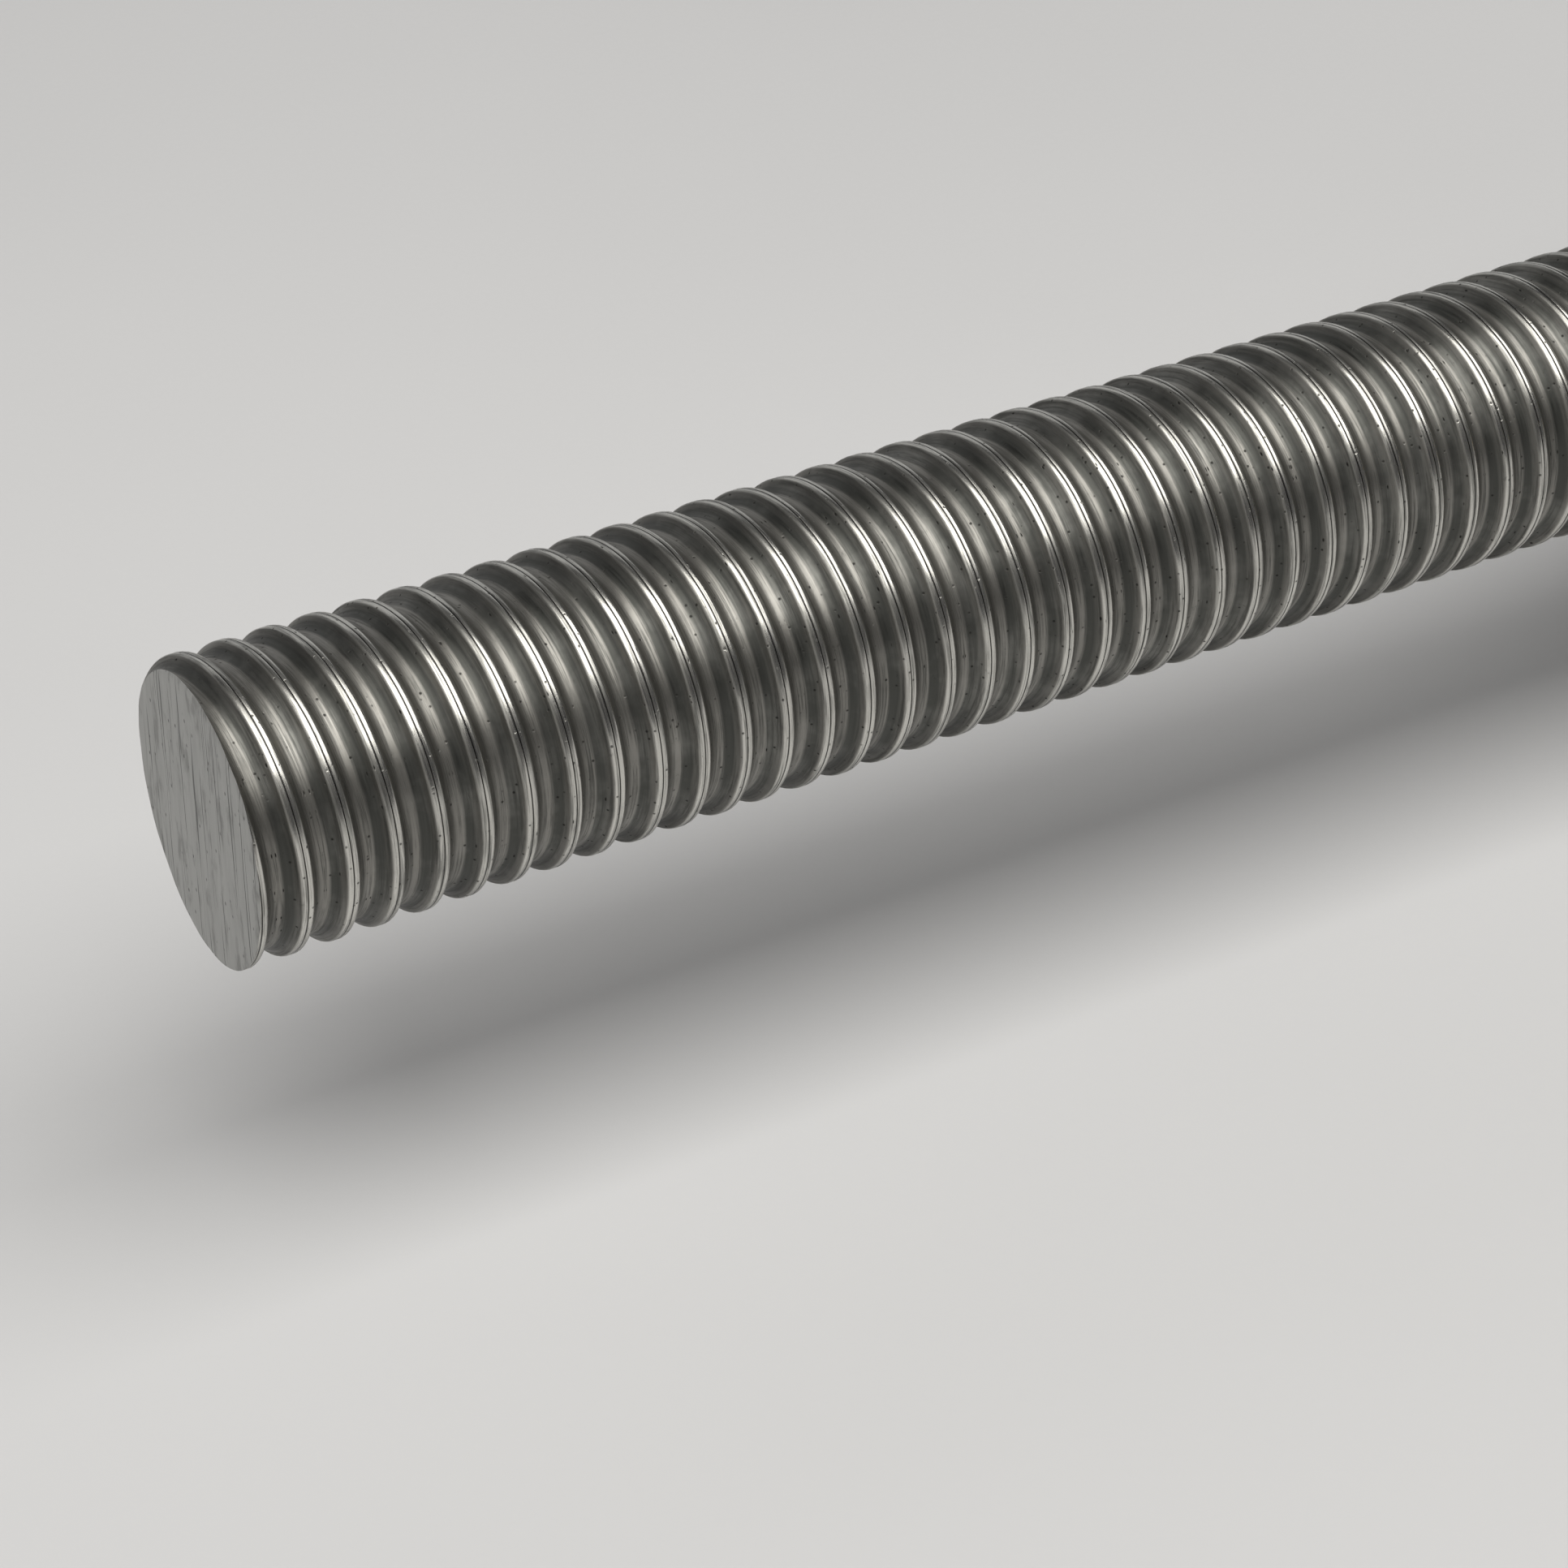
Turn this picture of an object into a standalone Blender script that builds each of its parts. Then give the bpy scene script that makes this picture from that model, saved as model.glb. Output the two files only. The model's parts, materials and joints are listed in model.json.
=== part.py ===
"""Ball screw assembly, 32 x 5 mm right hand: a rolled screw with a sawn free end, a flanged ball nut with
four internally returned ball circuits, and a fixed-end support block with two angular contact bearings.

Run it with blender --background --python part.py. Sizes in this file are millimetres, and MM turns them
into Blender's metres. World frame: the origin is the middle of the support block's foot, +X runs along the
screw from its sawn free end towards its drive end, and +Z is up.

Each body has an empty on the screw's axis, turned so that its local Z runs along the screw (world +X), its
local X is world +Y and its local Y is world +Z. Pieces sit in that frame: "x" is the place along the screw,
and an angle is counted about the screw from world +Y towards world +Z.
"""

import math

import bmesh
import bpy

MM = 0.001
WELD = 1e-6

# Screw thread
CREST_RADIUS = 16.0
LEAD = 5.0
BALL_CIRCLE_RADIUS = 16.5
GROOVE_ARC_RADIUS = 2.1
SCREW_SIDES = 12
CREST_AT_FACE_DEG = 262.8  # the angle where a crest meets the middle plane of the sawn face

# Places along the screw
SAWN_FACE_X = -307.35
SAWN_SLOPE_Y = 0.076  # the cut is not square: the face moves this far along X for each mm of Y and of Z
SAWN_SLOPE_Z = -0.006
SHOULDER_X = -26.0
DRIVE_END_X = 98.0

# Screw journals
BEARING_JOURNAL_RADIUS = 12.5
LOCK_THREAD_RADIUS = 12.4
LOCK_THREAD_X = (33.0, 53.0)
DRIVE_JOURNAL_X = 55.0
DRIVE_JOURNAL_RADIUS = 10.0
CHAMFER = 1.0
CENTRE_HOLE_RADIUS = 3.0
CENTRE_HOLE_DEPTH = 4.5
KEY_LENGTH = 32.0
KEY_WIDTH = 6.0
KEY_HEIGHT = 6.0
KEY_DEPTH = 3.5
KEY_MID_X = 77.0
KEY_GAP = 0.15

# Support block
AXIS_HEIGHT = 48.0
BLOCK_THICKNESS = 42.0
BLOCK_WIDTH = 106.0
BLOCK_HEIGHT = 80.0
SHOULDER_HEIGHT = 30.0
UPPER_WIDTH = 64.0
BLOCK_BEVEL = 1.2
FOOT_HOLE_SPACING_Y = 85.0
FOOT_HOLE_SPACING_X = 22.0
FOOT_HOLE_RADIUS = 5.5
FOOT_COUNTERBORE_RADIUS = 8.75
FOOT_COUNTERBORE_DEPTH = 11.0

# Bearings, two of 25 x 52 x 15 mm
BEARING_X = {"a": (-10.0, 4.9), "b": (5.1, 20.0)}
BEARING_STACK_X = (BEARING_X["a"][0], BEARING_X["b"][1])
BEARING_BORE_RADIUS = 12.75
BEARING_OUTER_RADIUS = 25.8
INNER_RING_LAND = 16.6
OUTER_RING_LAND = 21.9
RACE_ARC_RADIUS = 4.15
BEARING_PITCH_RADIUS = 19.25
BEARING_BALL_RADIUS = 3.5
BEARING_BALLS = 12
CAGE_HALF_THICKNESS = 0.7
CAGE_HALF_WIDTH = 4.6

# Bearing cover, seals and collars
CLEARANCE = 0.3
COVER_SIDE = 62.0
COVER_THICKNESS = 8.0
COVER_CORNER = 6.0
SPIGOT_RADII = (21.6, 25.6)
SEAL_POCKET_RADIUS = 20.5
SEAL_LIP_WALL_RADIUS = 18.0
SEAL_THICKNESS = 5.4
SEAL_INSET = 0.5
SEAL_FACE_WALL = 2.2
SEAL_RIM_WALL = 1.4
COLLAR_RADIUS = 16.0
COVER_SCREW_OFFSET = 25.0
COVER_SCREW_RADIUS = 2.5
COVER_SCREW_REACH = 14.0
SCREW_HEAD_RADIUS = 4.25
SCREW_HEAD_HEIGHT = 5.0
SCREW_HEAD_SUNK = 0.1
SCREW_CHAMFER = 0.5
SCREW_SOCKET_RADIUS = 2.3
SCREW_SOCKET_DEPTH = 2.5

# Lock nut
LOCK_NUT_X = (33.3, 51.3)
LOCK_NUT_RADIUS = 21.0
LOCK_NUT_BORE_RADIUS = 12.75
LOCK_NUT_SLOTS = 4
SLOT_WIDTH = 5.0
SLOT_DEPTH = 2.2
SET_SCREW_ANGLES = (45.0, 135.0)
SET_SCREW_RADIUS = 2.75
SET_SCREW_SPAN = (15.0, 20.2)  # how far out from the axis the screws and pads reach
SET_SOCKET_RADIUS = 1.7
SET_SOCKET_DEPTH = 2.8
PAD_RADIUS = 2.6
PAD_SPAN = (12.9, 14.7)

# Ball nut
NUT_X = (-100.0, -48.0)
NUT_RADIUS = 25.0
NUT_BORE_RADIUS = 16.8
FLANGE_RADIUS = 40.0
FLANGE_THICKNESS = 12.0
FLANGE_FLAT = 31.0
FLANGE_HOLE_CIRCLE_RADIUS = 32.5
FLANGE_HOLE_RADIUS = 4.5
FLANGE_HOLE_ANGLES = (60, 90, 120, 240, 270, 300)
WIPER_POCKET = (20.0, 5.0)
WIPER_RADII = (16.5, 19.7)
WIPER_THICKNESS = 4.5
WIPER_SCREW_ANGLE = 200.0
WIPER_INSET = 0.2
WIPER_SCREW_RADIUS = 1.25
WIPER_SCREW_TIP = 18.8
WIPER_SCREW_SUNK = 0.8
WIPER_SOCKET_RADIUS = 0.8
WIPER_SOCKET_DEPTH = 1.8
OIL_HOLE_RADIUS = 3.0
OIL_HOLE_ANGLE = 180.0
NIPPLE_HEXAGON = (4.6, FLANGE_FLAT + 0.3, FLANGE_FLAT + 4.6)  # radius, and from where to where

# Ball circuits: each is one turn of the thread closed by a deflector that lifts the balls over a crest
CIRCUITS = 4
FIRST_DEFLECTOR_ANGLE = 135.0
FIRST_DEFLECTOR_X = -87.0
DEFLECTOR_STEP_DEG = 90.0
CROSSING_HALF_DEG = 18.0
CROSSING_LIFT = 1.7
CROSSING_POINTS = 6
CIRCUIT_STEP_DEG = 18.0
BALL_TRAIN_RADIUS = 1.3
BALL_TRACK_RADIUS = 1.95
DEFLECTOR_HALF_AXIAL = 5.0
DEFLECTOR_HALF_ROUND = 6.8
DEFLECTOR_OUTER_RADIUS = 24.4
WALL_OVERLAP = 6.0  # how far the cutters and plugs start inside the bore

ALONG_SCREW = (math.pi / 2, 0, math.pi / 2)


# ---------------------------------------------------------------- scene and helpers


def clear_scene():
    for obj in list(bpy.data.objects):
        bpy.data.objects.remove(obj)


def new_collection(name):
    collection = bpy.data.collections.new(name)
    bpy.context.scene.collection.children.link(collection)
    return collection


def new_material(name, colour, roughness, metallic):
    material = bpy.data.materials.new(name)
    material.use_nodes = True
    shader = material.node_tree.nodes["Principled BSDF"]
    shader.inputs["Base Color"].default_value = (*colour, 1)
    shader.inputs["Roughness"].default_value = roughness
    shader.inputs["Metallic"].default_value = metallic
    return material


clear_scene()
PARTS = new_collection("ball_screw_assembly")
CUTTERS = new_collection("cutters")
ROLLED_STEEL = new_material("rolled_steel", (0.32, 0.32, 0.30), 0.28, 1.0)
GROUND_STEEL = new_material("ground_steel", (0.62, 0.62, 0.61), 0.22, 1.0)
BEARING_STEEL = new_material("bearing_steel", (0.70, 0.70, 0.70), 0.12, 1.0)
BLACK_OXIDE = new_material("black_oxide", (0.035, 0.035, 0.038), 0.42, 0.6)
SEAL_RUBBER = new_material("seal_rubber", (0.02, 0.02, 0.02), 0.7, 0.0)
NUT_PLASTIC = new_material("nut_plastic", (0.78, 0.76, 0.70), 0.5, 0.0)
BRASS = new_material("brass", (0.75, 0.55, 0.25), 0.3, 1.0)


def axis_empty(name):
    """An empty on the screw's axis. Its local Z runs along the screw."""
    empty = bpy.data.objects.new(name, None)
    empty.location = (0, 0, AXIS_HEIGHT * MM)
    empty.rotation_euler = ALONG_SCREW
    PARTS.objects.link(empty)
    return empty


def add_object(name, mesh, parent, material, location=(0, 0, 0), rotation=(0, 0, 0)):
    """A new object in its parent's frame. With no material it is a cutter."""
    obj = bpy.data.objects.new(name, mesh)
    obj.parent = parent
    obj.location = [value * MM for value in location]
    obj.rotation_euler = rotation
    if material:
        mesh.materials.append(material)
        PARTS.objects.link(obj)
    else:
        obj.hide_render = True
        obj.display_type = "WIRE"
        CUTTERS.objects.link(obj)
    return obj


def mesh_from(bm, name):
    mesh = bpy.data.meshes.new(name)
    bmesh.ops.recalc_face_normals(bm, faces=bm.faces)
    bm.to_mesh(mesh)
    bm.free()
    return mesh


def turned(name, outline, parent, material, sides=24, open_ends=False):
    """A shape turned about the screw's axis from (x, radius) points that run down its outer side first.
    A ring's outline closes on itself, and a solid's starts and ends on the axis."""
    mesh = bpy.data.meshes.new(name)
    points = [(radius * MM, 0, x * MM) for x, radius in outline]
    edges = [(n, n + 1) for n in range(len(points) - 1)]
    if not open_ends:
        edges.append((len(points) - 1, 0))
    mesh.from_pydata(points, edges, [])
    obj = add_object(name, mesh, parent, material)
    screw = obj.modifiers.new("turn", "SCREW")
    screw.axis = "Z"
    screw.steps = sides
    screw.render_steps = sides
    screw.use_merge_vertices = True
    screw.merge_threshold = WELD
    return obj


def ring(name, x_low, x_high, inner, outer, parent, material, sides=24):
    outline = [(x_high, outer), (x_low, outer), (x_low, inner), (x_high, inner)]
    return turned(name, outline, parent, material, sides)


def cylinder(
    name, radius, low, high, parent, material=None, sides=12, location=(0, 0, 0), rotation=(0, 0, 0)
):
    """A cylinder along its own local Z, from low to high. Six sides make a hexagon."""
    bm = bmesh.new()
    bmesh.ops.create_cone(
        bm, cap_ends=True, segments=sides, radius1=radius * MM, radius2=radius * MM, depth=(high - low) * MM
    )
    bmesh.ops.translate(bm, verts=bm.verts, vec=(0, 0, (low + high) / 2 * MM))
    return add_object(name, mesh_from(bm, name), parent, material, location, rotation)


def box(name, low, high, parent, material=None, location=(0, 0, 0), rotation=(0, 0, 0)):
    """A box between two corners in its own frame."""
    bm = bmesh.new()
    bmesh.ops.create_cube(bm, size=1)
    bmesh.ops.scale(bm, verts=bm.verts, vec=[(b - a) * MM for a, b in zip(low, high)])
    bmesh.ops.translate(bm, verts=bm.verts, vec=[(a + b) / 2 * MM for a, b in zip(low, high)])
    return add_object(name, mesh_from(bm, name), parent, material, location, rotation)


def stadium(
    name, half_length, half_width, low, high, parent, material=None, location=(0, 0, 0), rotation=(0, 0, 0)
):
    """A slot-shaped prism along its own local Z, long in local Y, with round ends."""
    bm = bmesh.new()
    straight = half_length - half_width
    arc = [math.radians(angle) for angle in range(0, 181, 30)]
    rim = [(half_width * math.cos(a), straight + half_width * math.sin(a)) for a in arc]
    rim += [(-px, -py) for px, py in rim]
    bottom = bm.faces.new([bm.verts.new((px * MM, py * MM, low * MM)) for px, py in rim])
    raised = bmesh.ops.extrude_face_region(bm, geom=[bottom])["geom"]
    top = [item for item in raised if isinstance(item, bmesh.types.BMVert)]
    bmesh.ops.translate(bm, verts=top, vec=(0, 0, (high - low) * MM))
    return add_object(name, mesh_from(bm, name), parent, material, location, rotation)


def combine(target, other, operation="DIFFERENCE"):
    modifier = target.modifiers.new(operation.lower(), "BOOLEAN")
    modifier.operation = operation
    modifier.object = other
    modifier.solver = "EXACT"


def bevel(obj, width):
    modifier = obj.modifiers.new("bevel", "BEVEL")
    modifier.width = width * MM
    modifier.segments = 1
    modifier.limit_method = "ANGLE"


def radial(angle):
    """The rotation that points a piece's own Z away from the screw's axis at that angle."""
    return (0, math.pi / 2, math.radians(angle))


def at_angle(radius, angle, x):
    """The place at that radius and angle about the screw, x along it."""
    return (radius * math.cos(math.radians(angle)), radius * math.sin(math.radians(angle)), x)


# ---------------------------------------------------------------- screw


def crest_x(angle):
    """Where the middle of a crest lies along the screw, at that angle about it."""
    return SAWN_FACE_X + LEAD * (angle - CREST_AT_FACE_DEG) / 360


def groove_radius(offset):
    """The thread's radius at that axial distance from the middle of a groove."""
    arc = BALL_CIRCLE_RADIUS - math.sqrt(GROOVE_ARC_RADIUS**2 - offset**2)
    return min(CREST_RADIUS, arc)


def thread_outline():
    """The zigzag of crests and grooves at angle 0, from a lead beyond one end to a lead beyond the other."""
    half_groove = math.sqrt(GROOVE_ARC_RADIUS**2 - (BALL_CIRCLE_RADIUS - CREST_RADIUS) ** 2)
    offsets = [share * half_groove for share in (-1, -0.5, 0.5, 1)]
    turns = math.ceil((SHOULDER_X - SAWN_FACE_X) / LEAD) + 4
    first_groove = crest_x(0) - 1.5 * LEAD
    places = [(first_groove + turn * LEAD, offset) for turn in range(turns) for offset in offsets]
    return [(middle + offset, groove_radius(offset)) for middle, offset in places]


def cut_flat(bm, point, outward):
    """Cuts away what lies beyond a plane and closes the cut with one face."""
    everything = bm.verts[:] + bm.edges[:] + bm.faces[:]
    cut = bmesh.ops.bisect_plane(bm, geom=everything, plane_co=point, plane_no=outward, clear_outer=True)
    rim = [item for item in cut["geom_cut"] if isinstance(item, bmesh.types.BMEdge)]
    bmesh.ops.holes_fill(bm, edges=rim, sides=0)


def threaded_bar(parent):
    """The rolled bar. Its outline turns once about the axis and advances one lead, so it meets itself."""
    bm = bmesh.new()
    outline = [bm.verts.new((radius * MM, 0, x * MM)) for x, radius in thread_outline()]
    edges = [bm.edges.new(pair) for pair in zip(outline, outline[1:])]
    bmesh.ops.spin(
        bm,
        geom=outline + edges,
        cent=(0, 0, 0),
        axis=(0, 0, 1),
        dvec=(0, 0, LEAD * MM / SCREW_SIDES),
        angle=2 * math.pi,
        steps=SCREW_SIDES,
    )
    bmesh.ops.remove_doubles(bm, verts=bm.verts, dist=WELD)
    cut_flat(bm, (0, 0, SAWN_FACE_X * MM), (SAWN_SLOPE_Y, SAWN_SLOPE_Z, -1))
    cut_flat(bm, (0, 0, SHOULDER_X * MM), (0, 0, 1))
    return add_object("screw_shaft", mesh_from(bm, "screw_shaft"), parent, ROLLED_STEEL)


def journals(parent):
    """The turned journals, which reach a little way into the bar. The far end has a centre hole."""
    thread_start, thread_end = LOCK_THREAD_X
    outline = [
        (DRIVE_END_X - CENTRE_HOLE_DEPTH, 0),
        (DRIVE_END_X, CENTRE_HOLE_RADIUS),
        (DRIVE_END_X, DRIVE_JOURNAL_RADIUS - CHAMFER),
        (DRIVE_END_X - CHAMFER, DRIVE_JOURNAL_RADIUS),
        (DRIVE_JOURNAL_X, DRIVE_JOURNAL_RADIUS),
        (thread_end, LOCK_THREAD_RADIUS - CHAMFER),
        (thread_end - CHAMFER, LOCK_THREAD_RADIUS),
        (thread_start, LOCK_THREAD_RADIUS),
        (thread_start - CHAMFER, BEARING_JOURNAL_RADIUS),
        (SHOULDER_X - LEAD, BEARING_JOURNAL_RADIUS),
        (SHOULDER_X - LEAD, 0),
    ]
    return turned("journals", outline, parent, None, open_ends=True)


def screw_shaft(parent):
    shaft = threaded_bar(parent)
    combine(shaft, journals(parent), "UNION")
    keyway = stadium(
        "keyway",
        KEY_LENGTH / 2 + KEY_GAP,
        KEY_WIDTH / 2 + KEY_GAP,
        DRIVE_JOURNAL_RADIUS - KEY_DEPTH,
        DRIVE_JOURNAL_RADIUS + 2,
        parent,
        None,
        (0, 0, KEY_MID_X),
        (-math.pi / 2, 0, 0),
    )
    combine(shaft, keyway)


def drive_key(parent):
    """A round-ended parallel key, on top of the drive journal."""
    floor = DRIVE_JOURNAL_RADIUS - KEY_DEPTH + KEY_GAP
    stadium(
        "drive_key",
        KEY_LENGTH / 2,
        KEY_WIDTH / 2,
        floor,
        floor + KEY_HEIGHT,
        parent,
        GROUND_STEEL,
        (0, 0, KEY_MID_X),
        (-math.pi / 2, 0, 0),
    )


def collars(parent):
    """The spacer rings on each side of the bearings, which the seals run on."""
    bore = BEARING_JOURNAL_RADIUS + CLEARANCE
    spans = {
        "collar_inner": (SHOULDER_X, BEARING_STACK_X[0]),
        "collar_outer": (BEARING_STACK_X[1], LOCK_NUT_X[0]),
    }
    for name, (low, high) in spans.items():
        ring(name, low + CLEARANCE, high - CLEARANCE, bore, COLLAR_RADIUS, parent, GROUND_STEEL)


def lock_nut(parent):
    low, high = LOCK_NUT_X
    outline = [
        (high, LOCK_NUT_RADIUS - CHAMFER),
        (high - CHAMFER, LOCK_NUT_RADIUS),
        (low + CHAMFER, LOCK_NUT_RADIUS),
        (low, LOCK_NUT_RADIUS - CHAMFER),
        (low, LOCK_NUT_BORE_RADIUS),
        (high, LOCK_NUT_BORE_RADIUS),
    ]
    nut = turned("lock_nut", outline, parent, BLACK_OXIDE)
    for n in range(LOCK_NUT_SLOTS):
        slot = box(
            f"lock_nut_slot_{n + 1}",
            (LOCK_NUT_RADIUS - SLOT_DEPTH, -SLOT_WIDTH / 2, low - 1),
            (LOCK_NUT_RADIUS + 1, SLOT_WIDTH / 2, high + 1),
            parent,
            rotation=(0, 0, n * 2 * math.pi / LOCK_NUT_SLOTS),
        )
        combine(nut, slot)
    middle = (low + high) / 2
    for n, angle in enumerate(SET_SCREW_ANGLES, 1):
        place = {"location": (0, 0, middle), "rotation": radial(angle)}
        reach = (LOCK_THREAD_RADIUS - 1, LOCK_NUT_RADIUS + 1)
        combine(nut, cylinder(f"set_screw_hole_{n}", SET_SCREW_RADIUS + CLEARANCE, *reach, parent, **place))
        cylinder(f"lock_nut_pad_{n}", PAD_RADIUS, *PAD_SPAN, parent, BRASS, **place)
        name = f"lock_nut_screw_{n}"
        screw = cylinder(name, SET_SCREW_RADIUS, *SET_SCREW_SPAN, parent, BLACK_OXIDE, **place)
        reach = (SET_SCREW_SPAN[1] - SET_SOCKET_DEPTH, SET_SCREW_SPAN[1] + 1)
        socket = cylinder(f"{name}_socket", SET_SOCKET_RADIUS, *reach, parent, sides=6, **place)
        combine(screw, socket)


# ---------------------------------------------------------------- bearings


def race(land, towards_axis):
    """(x, radius) points across a ring's raceway, from its high side to its low side."""
    depth = BEARING_PITCH_RADIUS - land if towards_axis else land - BEARING_PITCH_RADIUS
    half = math.sqrt(RACE_ARC_RADIUS**2 - depth**2)
    sign = -1 if towards_axis else 1
    points = []
    for share in (1, 0.5, -0.5, -1):
        offset = share * half
        points.append((offset, BEARING_PITCH_RADIUS + sign * math.sqrt(RACE_ARC_RADIUS**2 - offset**2)))
    return points


def bearing(letter, rotor, support, cage_axis):
    """One angular contact ball bearing: its inner ring turns with the screw, and its outer ring stays put."""
    low, high = BEARING_X[letter]
    middle = (low + high) / 2
    groove = [(middle + offset, radius) for offset, radius in race(INNER_RING_LAND, True)]
    inner = [(high, INNER_RING_LAND), *groove, (low, INNER_RING_LAND)]
    inner += [(low, BEARING_BORE_RADIUS), (high, BEARING_BORE_RADIUS)]
    turned(f"bearing_{letter}_inner_ring", inner, rotor, BEARING_STEEL)
    groove = [(middle + offset, radius) for offset, radius in race(OUTER_RING_LAND, False)]
    outer = [(high, BEARING_OUTER_RADIUS), (low, BEARING_OUTER_RADIUS), (low, OUTER_RING_LAND)]
    outer += [*reversed(groove), (high, OUTER_RING_LAND)]
    turned(f"bearing_{letter}_outer_ring", outer, support, BEARING_STEEL)
    cage = ring(
        f"bearing_{letter}_cage",
        middle - CAGE_HALF_WIDTH,
        middle + CAGE_HALF_WIDTH,
        BEARING_PITCH_RADIUS - CAGE_HALF_THICKNESS,
        BEARING_PITCH_RADIUS + CAGE_HALF_THICKNESS,
        cage_axis,
        NUT_PLASTIC,
    )
    combine(cage, ball_set(f"bearing_{letter}_balls", middle, cage_axis), "UNION")


def ball_set(name, middle, parent):
    """The balls of one bearing, spaced evenly in its cage."""
    bm = bmesh.new()
    for n in range(BEARING_BALLS):
        made = bmesh.ops.create_icosphere(bm, subdivisions=1, radius=BEARING_BALL_RADIUS * MM)
        centre = at_angle(BEARING_PITCH_RADIUS, 360 / BEARING_BALLS * (n + 0.5), middle)
        bmesh.ops.translate(bm, verts=made["verts"], vec=[value * MM for value in centre])
    return add_object(name, mesh_from(bm, name), parent, None)


# ---------------------------------------------------------------- support block


def support_housing(parent):
    """The block that holds the bearings. It is modelled upright in world axes and bored along the screw."""
    half = BLOCK_THICKNESS / 2
    foot_corners = ((-half, -BLOCK_WIDTH / 2, 0), (half, BLOCK_WIDTH / 2, SHOULDER_HEIGHT))
    upper_corners = ((-half, -UPPER_WIDTH / 2, SHOULDER_HEIGHT / 2), (half, UPPER_WIDTH / 2, BLOCK_HEIGHT))
    housing = box("support_housing", *foot_corners, None, BLACK_OXIDE)
    upper = box("upper_block", *upper_corners, None)
    combine(housing, upper, "UNION")
    bevel(housing, BLOCK_BEVEL)
    seat = turned(
        "bearing_seat",
        [
            (half + 1, 0),
            (half + 1, BEARING_OUTER_RADIUS + CLEARANCE),
            (BEARING_STACK_X[0] - CLEARANCE, BEARING_OUTER_RADIUS + CLEARANCE),
            (BEARING_STACK_X[0] - CLEARANCE, SEAL_LIP_WALL_RADIUS),
            (-half + SEAL_THICKNESS + 1, SEAL_LIP_WALL_RADIUS),
            (-half + SEAL_THICKNESS + 1, SEAL_POCKET_RADIUS),
            (-half - 1, SEAL_POCKET_RADIUS),
            (-half - 1, 0),
        ],
        parent,
        None,
        open_ends=True,
    )
    combine(housing, seat)
    top = SHOULDER_HEIGHT + 1
    bore_floor = SHOULDER_HEIGHT - FOOT_COUNTERBORE_DEPTH
    for n, (side_x, side_y) in enumerate(((-1, -1), (-1, 1), (1, -1), (1, 1)), 1):
        place = (side_x * FOOT_HOLE_SPACING_X / 2, side_y * FOOT_HOLE_SPACING_Y / 2, 0)
        combine(housing, cylinder(f"foot_hole_{n}", FOOT_HOLE_RADIUS, -1, top, None, location=place))
        reach = (bore_floor, top)
        sunk = cylinder(f"foot_counterbore_{n}", FOOT_COUNTERBORE_RADIUS, *reach, None, location=place)
        combine(housing, sunk)
    for n, place in enumerate(cover_screw_places(), 1):
        tapped = cylinder(
            f"cover_tapping_{n}",
            COVER_SCREW_RADIUS + CLEARANCE,
            half - COVER_SCREW_REACH - 1,
            half + 1,
            parent,
            location=(*place, 0),
        )
        combine(housing, tapped)


def cover_screw_places():
    """The four cover screws, as places across the screw's axis."""
    offset = COVER_SCREW_OFFSET
    return [(side_y * offset, side_z * offset) for side_z in (1, -1) for side_y in (-1, 1)]


def bearing_cover(parent):
    """The plate that clamps the outer rings. Its spigot reaches into the housing."""
    inner_face = BLOCK_THICKNESS / 2 + CLEARANCE
    outer_face = inner_face + COVER_THICKNESS
    half = COVER_SIDE / 2
    cover = box("bearing_cover", (-half, -half, inner_face), (half, half, outer_face), parent, BLACK_OXIDE)
    corners = cover.modifiers.new("corners", "BEVEL")
    corners.width = COVER_CORNER * MM
    corners.segments = 3
    corners.limit_method = "WEIGHT"
    weight_edges_along_z(cover.data)
    spigot = ring("spigot", BEARING_STACK_X[1] + CLEARANCE, inner_face + 1, *SPIGOT_RADII, parent, None)
    combine(cover, spigot, "UNION")
    bore = turned(
        "cover_bore",
        [
            (outer_face + 1, 0),
            (outer_face + 1, SEAL_POCKET_RADIUS),
            (outer_face - SEAL_THICKNESS - CLEARANCE, SEAL_POCKET_RADIUS),
            (outer_face - SEAL_THICKNESS - CLEARANCE, SEAL_LIP_WALL_RADIUS),
            (inner_face - 2, SEAL_LIP_WALL_RADIUS),
            (inner_face - 2, 0),
        ],
        parent,
        None,
        open_ends=True,
    )
    combine(cover, bore)
    for n, place in enumerate(cover_screw_places(), 1):
        spot = (*place, 0)
        reach = (inner_face - 1, outer_face + 1)
        radius = COVER_SCREW_RADIUS + CLEARANCE
        combine(cover, cylinder(f"cover_hole_{n}", radius, *reach, parent, location=spot))
        reach = (outer_face - SCREW_HEAD_HEIGHT - CLEARANCE, outer_face + 1)
        radius = SCREW_HEAD_RADIUS + CLEARANCE
        combine(cover, cylinder(f"cover_sink_{n}", radius, *reach, parent, location=spot))


def weight_edges_along_z(mesh):
    """Marks a box's edges along its Z for the Bevel modifier."""
    weights = mesh.attributes.new("bevel_weight_edge", "FLOAT", "EDGE")
    for edge in mesh.edges:
        start, end = (mesh.vertices[n].co for n in edge.vertices)
        if abs(start.z - end.z) > WELD:
            weights.data[edge.index].value = 1.0


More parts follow.
